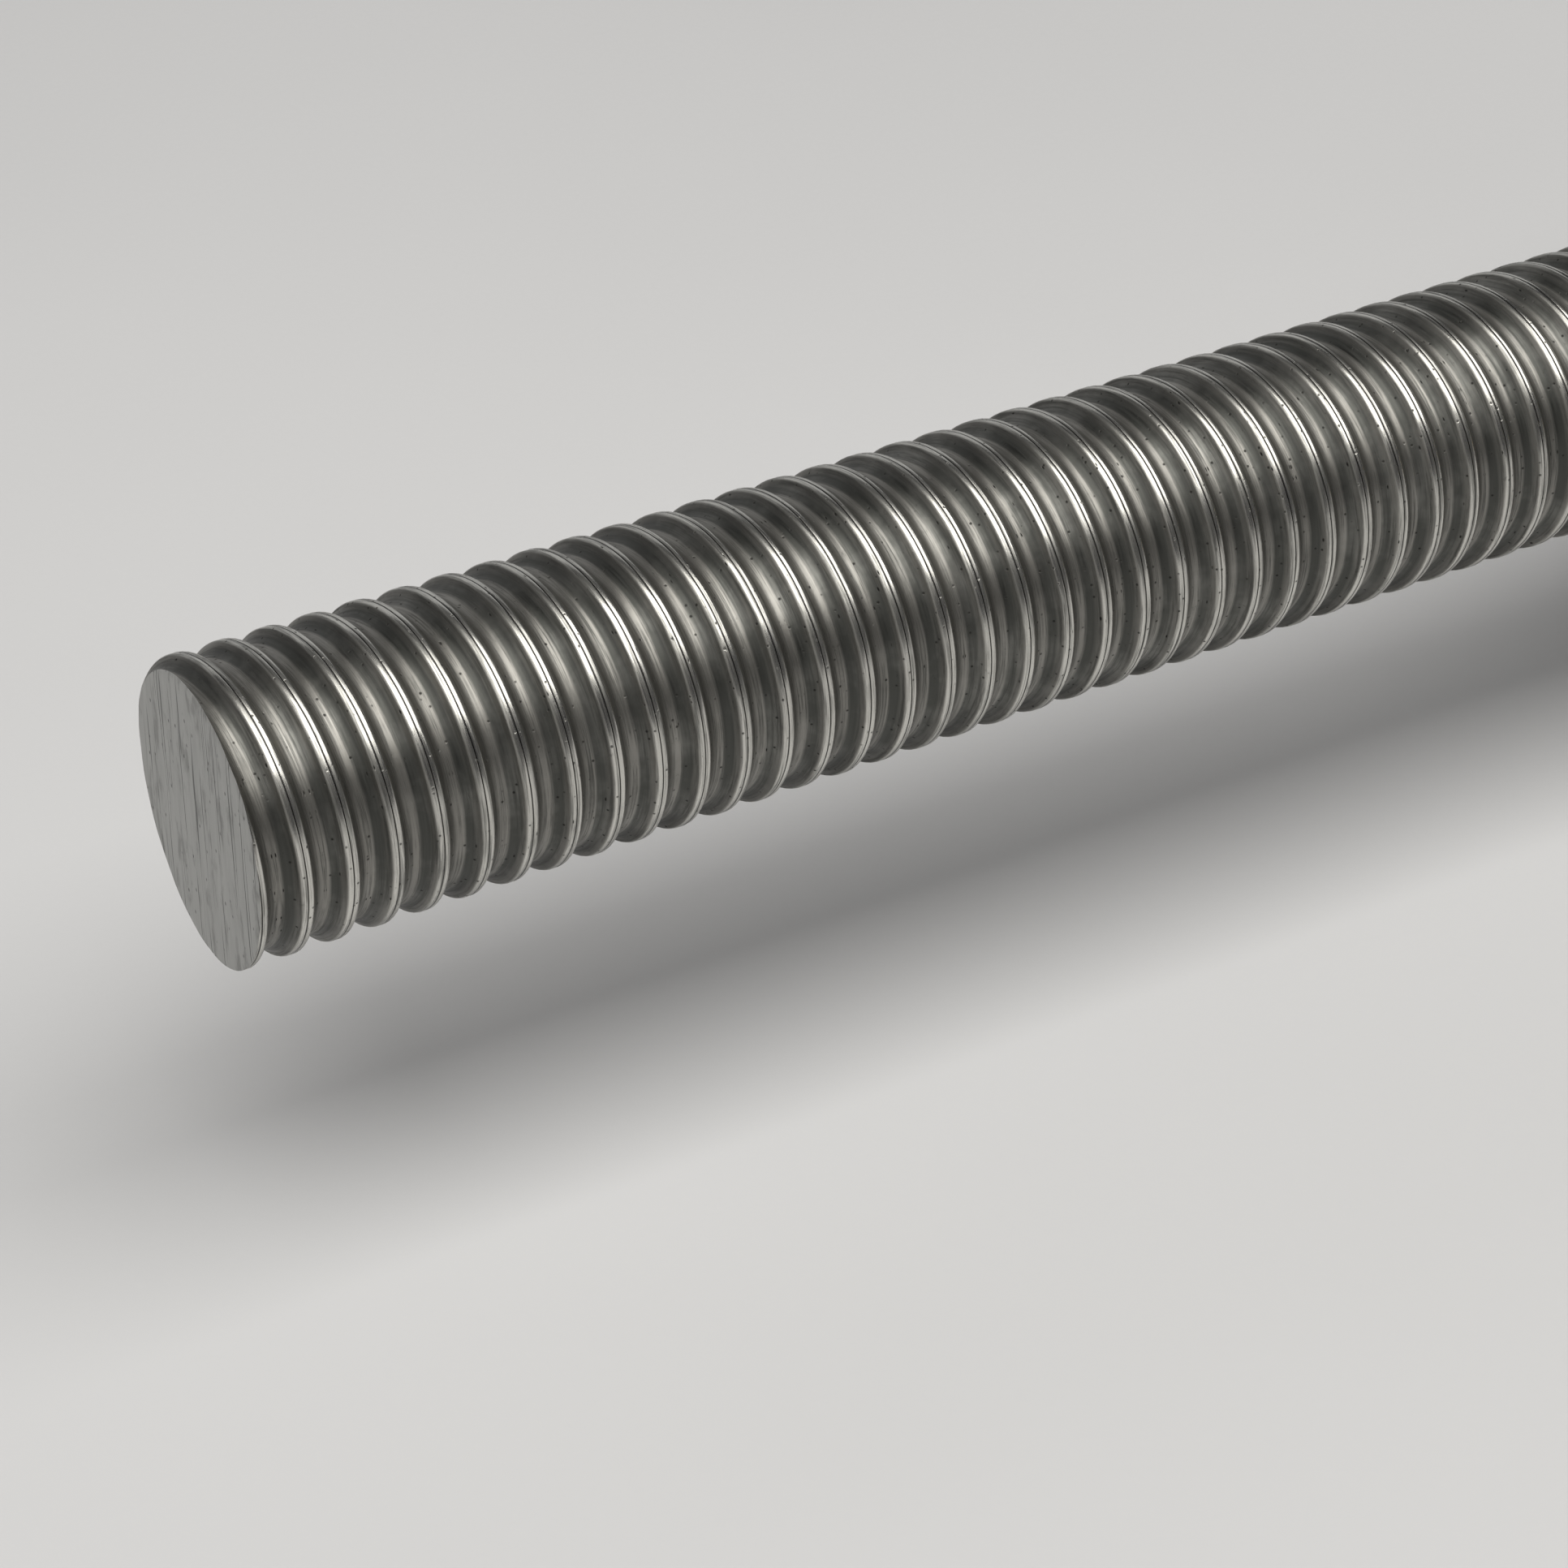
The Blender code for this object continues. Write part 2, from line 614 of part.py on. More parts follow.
def cover_screws(parent):
    """Socket head screws that hold the cover."""
    inner_face = BLOCK_THICKNESS / 2 + CLEARANCE
    seat = inner_face + COVER_THICKNESS - SCREW_HEAD_HEIGHT - SCREW_HEAD_SUNK
    for n, place in enumerate(cover_screw_places(), 1):
        outline = [
            (SCREW_HEAD_HEIGHT, 0),
            (SCREW_HEAD_HEIGHT, SCREW_HEAD_RADIUS - SCREW_CHAMFER),
            (SCREW_HEAD_HEIGHT - SCREW_CHAMFER, SCREW_HEAD_RADIUS),
            (0, SCREW_HEAD_RADIUS),
            (0, COVER_SCREW_RADIUS),
            (-COVER_SCREW_REACH, COVER_SCREW_RADIUS),
            (-COVER_SCREW_REACH - SCREW_CHAMFER, COVER_SCREW_RADIUS - SCREW_CHAMFER),
            (-COVER_SCREW_REACH - SCREW_CHAMFER, 0),
        ]
        screw = turned(f"cover_screw_{n}", outline, parent, BLACK_OXIDE, sides=12, open_ends=True)
        screw.location = [value * MM for value in (*place, seat)]
        reach = (SCREW_HEAD_HEIGHT - SCREW_SOCKET_DEPTH, SCREW_HEAD_HEIGHT + 1)
        spot = (*place, seat)
        name = f"cover_screw_socket_{n}"
        combine(screw, cylinder(name, SCREW_SOCKET_RADIUS, *reach, parent, sides=6, location=spot))


def shaft_seals(parent):
    """Two lip seals, one in the housing's front wall and one in the cover, each open to the bearings."""
    half = BLOCK_THICKNESS / 2
    cover_face = half + CLEARANCE + COVER_THICKNESS
    outer = SEAL_POCKET_RADIUS - CLEARANCE
    lip = COLLAR_RADIUS + CLEARANCE
    rim = outer - SEAL_RIM_WALL
    low = -half + SEAL_INSET
    high = low + SEAL_THICKNESS
    wall = low + SEAL_FACE_WALL
    outline = [(high, outer), (low, outer), (low, lip), (wall, lip), (wall, rim), (high, rim)]
    turned("seal_inner", outline, parent, SEAL_RUBBER)
    high = cover_face - CLEARANCE
    low = high - SEAL_THICKNESS
    wall = high - SEAL_FACE_WALL
    outline = [(high, outer), (low, outer), (low, rim), (wall, rim), (wall, lip), (high, lip)]
    turned("seal_outer", outline, parent, SEAL_RUBBER)


# ---------------------------------------------------------------- ball nut


def nut_outline():
    """Half of the nut's section: a body, a flange at its drive side, and a wiper pocket in each end."""
    low, high = NUT_X
    pocket_radius, pocket_depth = WIPER_POCKET
    flange_face = high - FLANGE_THICKNESS
    return [
        (high, FLANGE_RADIUS - CHAMFER),
        (high - CHAMFER, FLANGE_RADIUS),
        (flange_face + CHAMFER, FLANGE_RADIUS),
        (flange_face, FLANGE_RADIUS - CHAMFER),
        (flange_face, NUT_RADIUS),
        (low + CHAMFER, NUT_RADIUS),
        (low, NUT_RADIUS - CHAMFER),
        (low, pocket_radius),
        (low + pocket_depth, pocket_radius),
        (low + pocket_depth, NUT_BORE_RADIUS),
        (high - pocket_depth, NUT_BORE_RADIUS),
        (high - pocket_depth, pocket_radius),
        (high, pocket_radius),
    ]


def deflector_place(n):
    """(angle, x) of the middle of circuit n's deflector. It lies over a crest."""
    first_turn = round((FIRST_DEFLECTOR_X - crest_x(FIRST_DEFLECTOR_ANGLE)) / LEAD)
    angle = FIRST_DEFLECTOR_ANGLE + 360 * first_turn + n * (360 + DEFLECTOR_STEP_DEG)
    return angle, crest_x(angle)


def circuit_points(n):
    """The closed path of circuit n: most of a turn along the groove, then back over the crest."""
    angle, middle = deflector_place(n)
    start = angle + CROSSING_HALF_DEG
    span = 360 - 2 * CROSSING_HALF_DEG
    steps = round(span / CIRCUIT_STEP_DEG)
    points = []
    for step in range(steps + 1):
        along = span * step / steps
        x = middle - LEAD * span / 720 + LEAD * along / 360
        points.append(at_angle(BALL_CIRCLE_RADIUS, start + along, x))
    for step in range(1, CROSSING_POINTS):
        share = step / CROSSING_POINTS
        across = share * share * (3 - 2 * share)
        x = middle + LEAD * span / 720 * (1 - 2 * across)
        lift = CROSSING_LIFT * math.sin(math.pi * share)
        turn = angle - CROSSING_HALF_DEG + 2 * CROSSING_HALF_DEG * share
        points.append(at_angle(BALL_CIRCLE_RADIUS + lift, turn, x))
    return points


def circuit_tube(name, n, radius, parent, material):
    """A closed round tube along circuit n, made a mesh so that it can also cut."""
    curve = bpy.data.curves.new(name, "CURVE")
    curve.dimensions = "3D"
    curve.bevel_depth = radius * MM
    curve.bevel_resolution = 1
    spline = curve.splines.new("POLY")
    points = circuit_points(n)
    spline.points.add(len(points) - 1)
    for point, place in zip(spline.points, points):
        point.co = (*(value * MM for value in place), 1)
    spline.use_cyclic_u = True
    sketch = bpy.data.objects.new(name + "_path", curve)
    bpy.context.scene.collection.objects.link(sketch)
    graph = bpy.context.evaluated_depsgraph_get()
    mesh = bpy.data.meshes.new_from_object(sketch.evaluated_get(graph))
    bpy.data.objects.remove(sketch)
    mesh.materials.clear()
    return add_object(name, mesh, parent, material)


def ball_nut(parent):
    """The nut: flange flats, mounting holes, an oil hole and a window for each deflector."""
    high = NUT_X[1]
    nut = turned("nut_body", nut_outline(), parent, GROUND_STEEL)
    for n, side in enumerate((1, -1), 1):
        flat = box(
            f"flange_flat_{n}",
            (FLANGE_FLAT, -FLANGE_RADIUS, high - FLANGE_THICKNESS - 1),
            (FLANGE_RADIUS + 1, FLANGE_RADIUS, high + 1),
            parent,
            rotation=(0, 0, 0 if side > 0 else math.pi),
        )
        combine(nut, flat)
    for n, angle in enumerate(FLANGE_HOLE_ANGLES, 1):
        reach = (high - FLANGE_THICKNESS - 1, high + 1)
        spot = at_angle(FLANGE_HOLE_CIRCLE_RADIUS, angle, 0)
        place = {"sides": 14, "location": spot, "rotation": (0, 0, math.radians(angle))}
        combine(nut, cylinder(f"flange_hole_{n}", FLANGE_HOLE_RADIUS, *reach, parent, **place))
    reach = (NUT_BORE_RADIUS - WALL_OVERLAP, FLANGE_RADIUS)
    place = {"location": (0, 0, high - FLANGE_THICKNESS / 2), "rotation": radial(OIL_HOLE_ANGLE)}
    combine(nut, cylinder("oil_hole", OIL_HOLE_RADIUS, *reach, parent, **place))
    for n in range(CIRCUITS):
        angle, x = deflector_place(n)
        place = {"location": (0, 0, x), "rotation": radial(angle)}
        halves = (DEFLECTOR_HALF_ROUND + CLEARANCE / 2, DEFLECTOR_HALF_AXIAL + CLEARANCE / 2)
        reach = (NUT_BORE_RADIUS - WALL_OVERLAP, NUT_RADIUS + 2)
        combine(nut, stadium(f"window_{n + 1}", *halves, *reach, parent, **place))
        track = circuit_tube(f"track_{n + 1}", n, BALL_TRACK_RADIUS, parent, None)
        combine(nut, track)
        deflector(n, track, parent, place)
        circuit_tube(f"ball_circuit_{n + 1}", n, BALL_TRAIN_RADIUS, parent, BEARING_STEEL)
    wipers(nut, parent)


def deflector(n, track, parent, place):
    """A plug in the nut's wall. Its inner side follows the bore, with a channel over the crest."""
    halves = (DEFLECTOR_HALF_ROUND, DEFLECTOR_HALF_AXIAL)
    reach = (NUT_BORE_RADIUS - WALL_OVERLAP, DEFLECTOR_OUTER_RADIUS)
    plug = stadium(f"ball_deflector_{n + 1}", *halves, *reach, parent, NUT_PLASTIC, **place)
    low, high = NUT_X
    bore = cylinder(f"plug_bore_{n + 1}", NUT_BORE_RADIUS, low, high, parent, sides=24)
    combine(plug, bore)
    combine(plug, track)


def wipers(nut, parent):
    """A plastic wiper in each end of the nut, held by a small radial set screw."""
    low, high = NUT_X
    inner, outer = WIPER_RADII
    half = WIPER_THICKNESS / 2
    middles = {"front": low + WIPER_INSET + half, "rear": high - WIPER_INSET - half}
    rims = {"front": NUT_RADIUS, "rear": FLANGE_FLAT}
    for side, middle in middles.items():
        wiper = ring(f"wiper_{side}", middle - half, middle + half, inner, outer, parent, NUT_PLASTIC)
        place = {"location": (0, 0, middle), "rotation": radial(WIPER_SCREW_ANGLE)}
        reach = (WIPER_SCREW_TIP - CLEARANCE, FLANGE_RADIUS + 2)
        hole = cylinder(f"wiper_hole_{side}", WIPER_SCREW_RADIUS + CLEARANCE, *reach, parent, **place)
        combine(nut, hole)
        combine(wiper, hole)
        top = rims[side] - WIPER_SCREW_SUNK
        screw = cylinder(
            f"wiper_screw_{side}", WIPER_SCREW_RADIUS, WIPER_SCREW_TIP, top, parent, BLACK_OXIDE, **place
        )
        reach = (top - WIPER_SOCKET_DEPTH, top + 1)
        socket = cylinder(f"wiper_socket_{side}", WIPER_SOCKET_RADIUS, *reach, parent, sides=6, **place)
        combine(screw, socket)


def grease_nipple(parent):
    """A straight grease nipple in the flange's flat: a threaded stem, a hexagon and a ball-shaped head."""
    flat = FLANGE_FLAT
    nipple = turned(
        "grease_nipple",
        [
            (flat + 11.4, 0),
            (flat + 11.4, 1.6),
            (flat + 10.2, 2.7),
            (flat + 8.6, 3.2),
            (flat + 7.0, 2.2),
            (flat + 5.0, 2.2),
            (flat + 5.0, 3.4),
            (flat + 0.3, 3.4),
            (flat + 0.3, OIL_HOLE_RADIUS - CLEARANCE),
            (flat - 6, OIL_HOLE_RADIUS - CLEARANCE),
            (flat - 6, 0),
        ],
        parent,
        BRASS,
        sides=12,
        open_ends=True,
    )
    middle = NUT_X[1] - FLANGE_THICKNESS / 2
    nipple.location = (0, 0, middle * MM)
    nipple.rotation_euler = radial(OIL_HOLE_ANGLE)
    place = {"sides": 6, "location": (0, 0, middle), "rotation": radial(OIL_HOLE_ANGLE)}
    combine(nipple, cylinder("nipple_hexagon", *NIPPLE_HEXAGON, parent, **place), "UNION")


# ---------------------------------------------------------------- assembly


def finish_meshes():
    """Turns each part's modifiers into its mesh, and shades it smooth up to its edges."""
    graph = bpy.context.evaluated_depsgraph_get()
    parts = [obj for obj in PARTS.objects if obj.type == "MESH"]
    made = [bpy.data.meshes.new_from_object(obj.evaluated_get(graph)) for obj in parts]
    for obj, mesh in zip(parts, made):
        obj.modifiers.clear()
        obj.data = mesh
        mesh.name = obj.name
        mesh.shade_smooth()
        mesh.set_sharp_from_angle(angle=math.radians(35))
    for cutter in list(CUTTERS.objects):
        bpy.data.objects.remove(cutter)


def main():
    support = axis_empty("support_axis")
    rotor = axis_empty("screw_axis")
    carriage = axis_empty("nut_axis")
    support_housing(support)
    bearing_cover(support)
    cover_screws(support)
    shaft_seals(support)
    for letter in BEARING_X:
        bearing(letter, rotor, support, axis_empty(f"cage_{letter}_axis"))
    screw_shaft(rotor)
    drive_key(rotor)
    collars(rotor)
    lock_nut(rotor)
    ball_nut(carriage)
    grease_nipple(carriage)
    finish_meshes()


main()
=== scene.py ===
"""Looks of the ball screw assembly: a detailed piece for each CAD node, its materials, and the studio.

Every piece is made in place, in the CAD's frame: the origin is the middle of the support block's foot, +X
runs along the screw from its sawn end to its drive end, and +Z is up. An angle about the screw is counted
from +Y towards +Z. Sizes are in millimetres here, and become metres where a mesh is made.
"""

import json
import math

import bmesh
import bpy
import numpy as np
from mathutils import Matrix, Vector


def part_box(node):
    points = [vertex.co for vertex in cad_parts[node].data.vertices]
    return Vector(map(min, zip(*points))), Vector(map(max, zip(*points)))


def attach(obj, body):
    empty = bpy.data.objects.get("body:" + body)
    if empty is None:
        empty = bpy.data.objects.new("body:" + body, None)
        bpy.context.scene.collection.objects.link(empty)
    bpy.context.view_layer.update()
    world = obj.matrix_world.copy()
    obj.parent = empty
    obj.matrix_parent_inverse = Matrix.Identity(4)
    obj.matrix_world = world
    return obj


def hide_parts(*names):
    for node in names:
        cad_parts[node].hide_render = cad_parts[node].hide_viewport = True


MM = 0.001

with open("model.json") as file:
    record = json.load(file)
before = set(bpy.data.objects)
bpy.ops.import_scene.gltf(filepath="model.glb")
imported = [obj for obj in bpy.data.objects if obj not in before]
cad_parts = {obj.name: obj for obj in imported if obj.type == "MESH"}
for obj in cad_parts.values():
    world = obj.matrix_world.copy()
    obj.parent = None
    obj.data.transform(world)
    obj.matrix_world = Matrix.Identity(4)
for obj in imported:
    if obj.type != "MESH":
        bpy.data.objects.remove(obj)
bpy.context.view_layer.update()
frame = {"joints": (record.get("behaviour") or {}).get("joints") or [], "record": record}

# ---- sizes, from the frame where it has them

JOINTS = {joint["name"]: joint for joint in frame["joints"]}
COUPLINGS = {item["joint"]: item["ratio"] for item in frame["record"]["behaviour"]["couplings"]}
AXIS_Z = JOINTS["screw_spin"]["pos_m"][2] / MM
LEAD = -COUPLINGS["nut_travel"] * 2 * math.pi / MM


def span(node, axis=0):
    """(lowest, highest) place of a CAD node along X, Y or Z, in millimetres."""
    low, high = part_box(node)
    return low[axis] / MM, high[axis] / MM


# Rolled thread
CREST_RADIUS = 16.0
BALL_CIRCLE_RADIUS = 16.5
GROOVE_ARC_RADIUS = 1.9
CREST_EDGE_RADIUS = 0.55
FLAT_SHARE = 0.35
FOLD_DEPTH = 0.06
FOLD_HALF = 0.085
ARC_STEPS = 15
SHAFT_SIDES = 80
BAR_SIDES = 64
FINE_SIDES = 128
SAWN_RINGS = (0.994, 0.985, 0.96, 0.92, 0.87, 0.81, 0.74, 0.66, 0.57, 0.47, 0.36, 0.24, 0.12)
BURR_HEIGHT = 0.03
SAWN_FACE_X = -307.35
SAWN_SLOPE_Y = 0.076
SAWN_SLOPE_Z = -0.006
CREST_AT_FACE_DEG = 262.8
SHOULDER_X = -26.0
SAWN_SLOT = 1
TURNED_SLOT = 2

# Journals
DRIVE_END_X = span("screw_shaft")[1]
BEARING_JOURNAL_RADIUS = 12.5
DRIVE_JOURNAL_RADIUS = 10.0
LOCK_THREAD_X = (33.0, 52.6)
LOCK_THREAD_RADIUS = 12.4
LOCK_THREAD_PITCH = 1.5
LOCK_THREAD_DEPTH = 0.9
LOCK_NUT_RADIUS = 21.0
LOCK_NUT_SLOTS = 4
LOCK_SCREW_ANGLES = (45, 135)
KEY_X = span("drive_key")
KEY_Z = span("drive_key", 2)
KEY_HALF_WIDTH = 3.0

# Bearings
BEARING_PITCH_RADIUS = 19.25
BEARING_BALL_RADIUS = 3.97
BEARING_BALLS = 12
RACE_RADIUS = 4.1
SHOULDER_LEAN = math.radians(55)
RELIEVED_LEAN = math.radians(27)
CAGE_HALF_LENGTH = 5.6
POCKET_RADIUS = 4.12

# Support block
BLOCK_X = span("support_housing")
BLOCK_HALF_WIDTH = span("support_housing", 1)[1]
BLOCK_TOP = span("support_housing", 2)[1]
SHOULDER_Z = 30.0
UPPER_HALF_WIDTH = 32.0
FOOT_HOLE_PLACES = [(x, y) for x in (-11.0, 11.0) for y in (-42.5, 42.5)]
SEAT_RADIUS = 26.02
COVER_X = (BLOCK_X[1] + 0.05, span("bearing_cover")[1])
SEAL_RADIUS = 20.45
SEAL_DEPTH = 6.2
COLLAR_RADIUS = 16.0
COVER_HALF_WIDTH = 31.0
SPIGOT_RADIUS = 25.9
LIP_ROOM_RADIUS = 19.0
COVER_SCREW_PLACES = [(y, z) for z in (25.0, -25.0) for y in (-25.0, 25.0)]

# Ball nut
NUT_X = span("nut_body")
NUT_RADIUS = 25.0
FLANGE_RADIUS = 40.0
FLANGE_X = NUT_X[1] - 12.0
FLANGE_FLAT = span("nut_body", 1)[1]
FLANGE_HOLE_ANGLES = (60, 90, 120, 240, 270, 300)
FLANGE_HOLE_CIRCLE = 32.5
FLANGE_HOLE_RADIUS = 4.5
NUT_LAND_RADIUS = 16.55
NUT_ARC_RADIUS = 1.82
WIPER_SCREW_ANGLE = 200.0
OIL_HOLE_ANGLE = 180.0
BALL_RADIUS = 1.75
BALL_SPACING = 3.62
CIRCUITS = 4
CIRCUIT_SAMPLES = 720
DEFLECTOR_STEP_DEG = 450
FIRST_DEFLECTOR_ANGLE = 135.0
FIRST_DEFLECTOR_X = -87.0
CROSSING_HALF_DEG = 18.0
CROSSING_LIFT = 1.75


def crest_x(angle):
    """Where the middle of a crest lies along the screw, at that angle about it in degrees."""
    return SAWN_FACE_X + LEAD * (angle - CREST_AT_FACE_DEG) / 360


# ---- mesh helpers


def object_from(bm, name, fix_normals=True):
    if fix_normals:
        bmesh.ops.recalc_face_normals(bm, faces=bm.faces)
    mesh = bpy.data.meshes.new(name)
    bm.to_mesh(mesh)
    bm.free()
    obj = bpy.data.objects.new(name, mesh)
    bpy.context.scene.collection.objects.link(obj)
    return obj


def smooth(obj, angle=32):
    obj.data.shade_smooth()
    obj.data.set_sharp_from_angle(angle=math.radians(angle))
    return obj


def bake(obj):
    """Turns an object's modifiers into its mesh."""
    graph = bpy.context.evaluated_depsgraph_get()
    mesh = bpy.data.meshes.new_from_object(obj.evaluated_get(graph))
    obj.modifiers.clear()
    old = obj.data
    obj.data = mesh
    bpy.data.meshes.remove(old)
    mesh.name = obj.name
    return obj


def boolean(target, cutters, operation="DIFFERENCE"):
    """Applies Boolean cuts, or joins, and removes the cutters."""
    for cutter in cutters:
        modifier = target.modifiers.new("cut", "BOOLEAN")
        modifier.operation = operation
        modifier.solver = "MANIFOLD"
        modifier.object = cutter
    bake(target)
    for cutter in cutters:
        bpy.data.objects.remove(cutter)
    return target


def bevelled(obj, width, segments=3, angle=30):
    modifier = obj.modifiers.new("bevel", "BEVEL")
    modifier.width = width * MM
    modifier.segments = segments
    modifier.limit_method = "ANGLE"
    modifier.angle_limit = math.radians(angle)
    return bake(obj)


def rounded(outline, radius, steps, closed):
    """The outline with each corner replaced by a short curve. A third value is the corner's own radius."""
    points = []
    for n, corner in enumerate(outline):
        here = Vector(corner[:2])
        wanted = corner[2] if len(corner) > 2 else radius
        at_end = not closed and n in (0, len(outline) - 1)
        if at_end or wanted <= 0:
            points.append(tuple(here))
            continue
        back = Vector(outline[n - 1][:2]) - here
        ahead = Vector(outline[(n + 1) % len(outline)][:2]) - here
        turn = back.angle(ahead)
        reach = min(wanted / math.tan(turn / 2), 0.45 * back.length, 0.45 * ahead.length)
        start = here + back.normalized() * reach
        end = here + ahead.normalized() * reach
        for step in range(steps + 1):
            t = step / steps
            points.append(tuple((1 - t) ** 2 * start + 2 * t * (1 - t) * here + t * t * end))
    return points


def revolve(bm, points, sides, closed, put):
    """Adds a surface of revolution. put(along, radius, angle) gives a point, and radius 0 is on the axis."""
    rows = []
    for along, radius in points:
        if radius < 1e-6:
            rows.append([bm.verts.new(put(along, 0, 0))] * sides)
        else:
            rows.append([bm.verts.new(put(along, radius, 2 * math.pi * n / sides)) for n in range(sides)])
    pairs = list(zip(rows, rows[1:])) + ([(rows[-1], rows[0])] if closed else [])
    for one, two in pairs:
        for n in range(sides):
            ring = [one[n], one[(n + 1) % sides], two[(n + 1) % sides], two[n]]
            ring = [vert for k, vert in enumerate(ring) if vert != ring[k - 1]]
            if len(ring) > 2:
                bm.faces.new(ring)


def on_screw(along, radius, angle):
    """A point by its place along the screw and its radius and angle about it."""
    return Vector((along, radius * math.cos(angle), AXIS_Z + radius * math.sin(angle))) * MM


def on_own_axis(along, radius, angle):
    """A point about the object's own Z."""
    return Vector((radius * math.cos(angle), radius * math.sin(angle), along)) * MM


def turned(name, outline, sides=96, soften=0.25, closed=True):
    """A piece turned about the screw's axis from (x, radius) points. If not closed, it ends on the axis."""
    bm = bmesh.new()
    revolve(bm, rounded(outline, soften, 3, closed), sides, closed, on_screw)
    return smooth(object_from(bm, name))


def spun(name, outline, sides=48, soften=0.0):
    """A piece turned about its own Z from (z, radius) points that start and end on that axis."""
    bm = bmesh.new()
    revolve(bm, rounded(outline, soften, 3, False), sides, False, on_own_axis)
    return object_from(bm, name)


def hole_cutter(radius, low, high, chamfer=0.4, through=False):
    """A cutter for a round hole along its own Z, with a chamfered mouth at high, and at low if through."""
    outline = [(high + 1, 0), (high + 1, radius + chamfer + 1), (high - chamfer, radius)]
    if through:
        outline += [(low + chamfer, radius), (low - 1, radius + chamfer + 1), (low - 1, 0)]
    else:
        outline += [(low, radius), (low, 0)]
    return spun("hole", outline)


def prism(name, outline, low, high, soften=0.0):
    """A prism along its own Z, from an outline of (x, y) points."""
    points = rounded(outline, soften, 5, True) if soften else outline
    bm = bmesh.new()
    bottom = bm.faces.new([bm.verts.new((x * MM, y * MM, low * MM)) for x, y in points])
    raised = bmesh.ops.extrude_face_region(bm, geom=[bottom])["geom"]
    top = [item for item in raised if isinstance(item, bmesh.types.BMVert)]
    bmesh.ops.translate(bm, verts=top, vec=(0, 0, (high - low) * MM))
    return object_from(bm, name)


def polygon(radius, sides, phase=0.0):
    """A regular outline. Its corners lie at that radius."""
    angles = [2 * math.pi * (n + phase) / sides for n in range(sides)]
    return [(radius * math.cos(a), radius * math.sin(a)) for a in angles]


def stadium(half_length, half_width, steps=12):
    """A slot's outline, long in X, with round ends."""
    straight = half_length - half_width
    arc = [math.pi * (step / steps - 0.5) for step in range(steps + 1)]
    right = [(straight + half_width * math.cos(a), half_width * math.sin(a)) for a in arc]
    return right + [(-x, -y) for x, y in right]


def placed(obj, location, z_axis, x_axis):
    """Moves an object's mesh so that its Z and X lie along those directions, at a place in millimetres."""
    z_axis = Vector(z_axis).normalized()
    x_axis = Vector(x_axis).normalized()
    turn = Matrix((x_axis, z_axis.cross(x_axis), z_axis)).transposed().to_4x4()
    obj.data.transform(Matrix.Translation(Vector(location) * MM) @ turn)
    return obj


def spin_direction(angle):
    """The direction across the screw at that angle."""
    turn = math.radians(angle)
    return (0, math.cos(turn), math.sin(turn))


def radial(obj, angle, x):
    """Puts an object on the screw's axis at x. Its Z points out at that angle, and its X round the screw."""
    turn = math.radians(angle)
    around = (0, -math.sin(turn), math.cos(turn))
    return placed(obj, (x, 0, AXIS_Z), spin_direction(angle), around)


def axial(obj, y, z, x=0.0):
    """Puts an object beside the screw's axis, with its own Z along +X."""
    return placed(obj, (x, y, AXIS_Z + z), (1, 0, 0), (0, 1, 0))


def wide_cylinder(radius, low, high):
    outline = [(high, 0), (high, radius), (low, radius), (low, 0)]
    return turned("cylinder", outline, FINE_SIDES, 0.0, closed=False)


def fill_slot(faces, slot):
    """Gives faces the material in that slot."""
    for face in faces:
        face.material_index = slot


# ---- helical surfaces


def thread_profile():
    """(distance from a crest's fold, radius) over one lead. Each crest is a narrow ridge, split by a fold."""
    across = GROOVE_ARC_RADIUS + CREST_EDGE_RADIUS
    lean = math.acos((BALL_CIRCLE_RADIUS - CREST_RADIUS + CREST_EDGE_RADIUS) / across)
    edge_x = LEAD / 2 - across * math.sin(lean)
    crest = []
    for step in range(ARC_STEPS):
        share = (step / ARC_STEPS) ** 0.9
        angle = max(0, (share - FLAT_SHARE) / (1 - FLAT_SHARE)) * lean
        x = edge_x * min(1, share / FLAT_SHARE) + CREST_EDGE_RADIUS * math.sin(angle)
        fold = FOLD_DEPTH * math.exp(-((x / FOLD_HALF) ** 2))
        crest.append((x, CREST_RADIUS - CREST_EDGE_RADIUS * (1 - math.cos(angle)) - fold))
    groove = []
    for step in range(ARC_STEPS):
        angle = lean * (2 * step / (ARC_STEPS - 1) - 1)
        radius = BALL_CIRCLE_RADIUS - GROOVE_ARC_RADIUS * math.cos(angle)
        groove.append((LEAD / 2 + GROOVE_ARC_RADIUS * math.sin(angle), radius))
    return crest + groove + [(LEAD - x, radius) for x, radius in reversed(crest[1:])]


def nut_core_profile():
    """(distance from a land's middle, radius) over one lead of the space inside the nut's thread."""
    lean = math.acos((NUT_LAND_RADIUS - BALL_CIRCLE_RADIUS) / NUT_ARC_RADIUS)
    points = [(0.0, NUT_LAND_RADIUS)]
    for step in range(11):
        angle = lean * (step / 5 - 1)
        radius = BALL_CIRCLE_RADIUS + NUT_ARC_RADIUS * math.cos(angle)
        points.append((LEAD / 2 + NUT_ARC_RADIUS * math.sin(angle), radius))
    return points


def vee_profile(pitch, crest_radius, depth):
    """(distance, radius) over one pitch of a fastening thread, from the middle of a crest."""
    flat = pitch / 16
    root = pitch / 8
    low = crest_radius - depth
    points = [(0.0, crest_radius), (flat, crest_radius), (pitch / 2 - root, low), (pitch / 2 + root, low)]
    return [*points, (pitch - flat, crest_radius)]


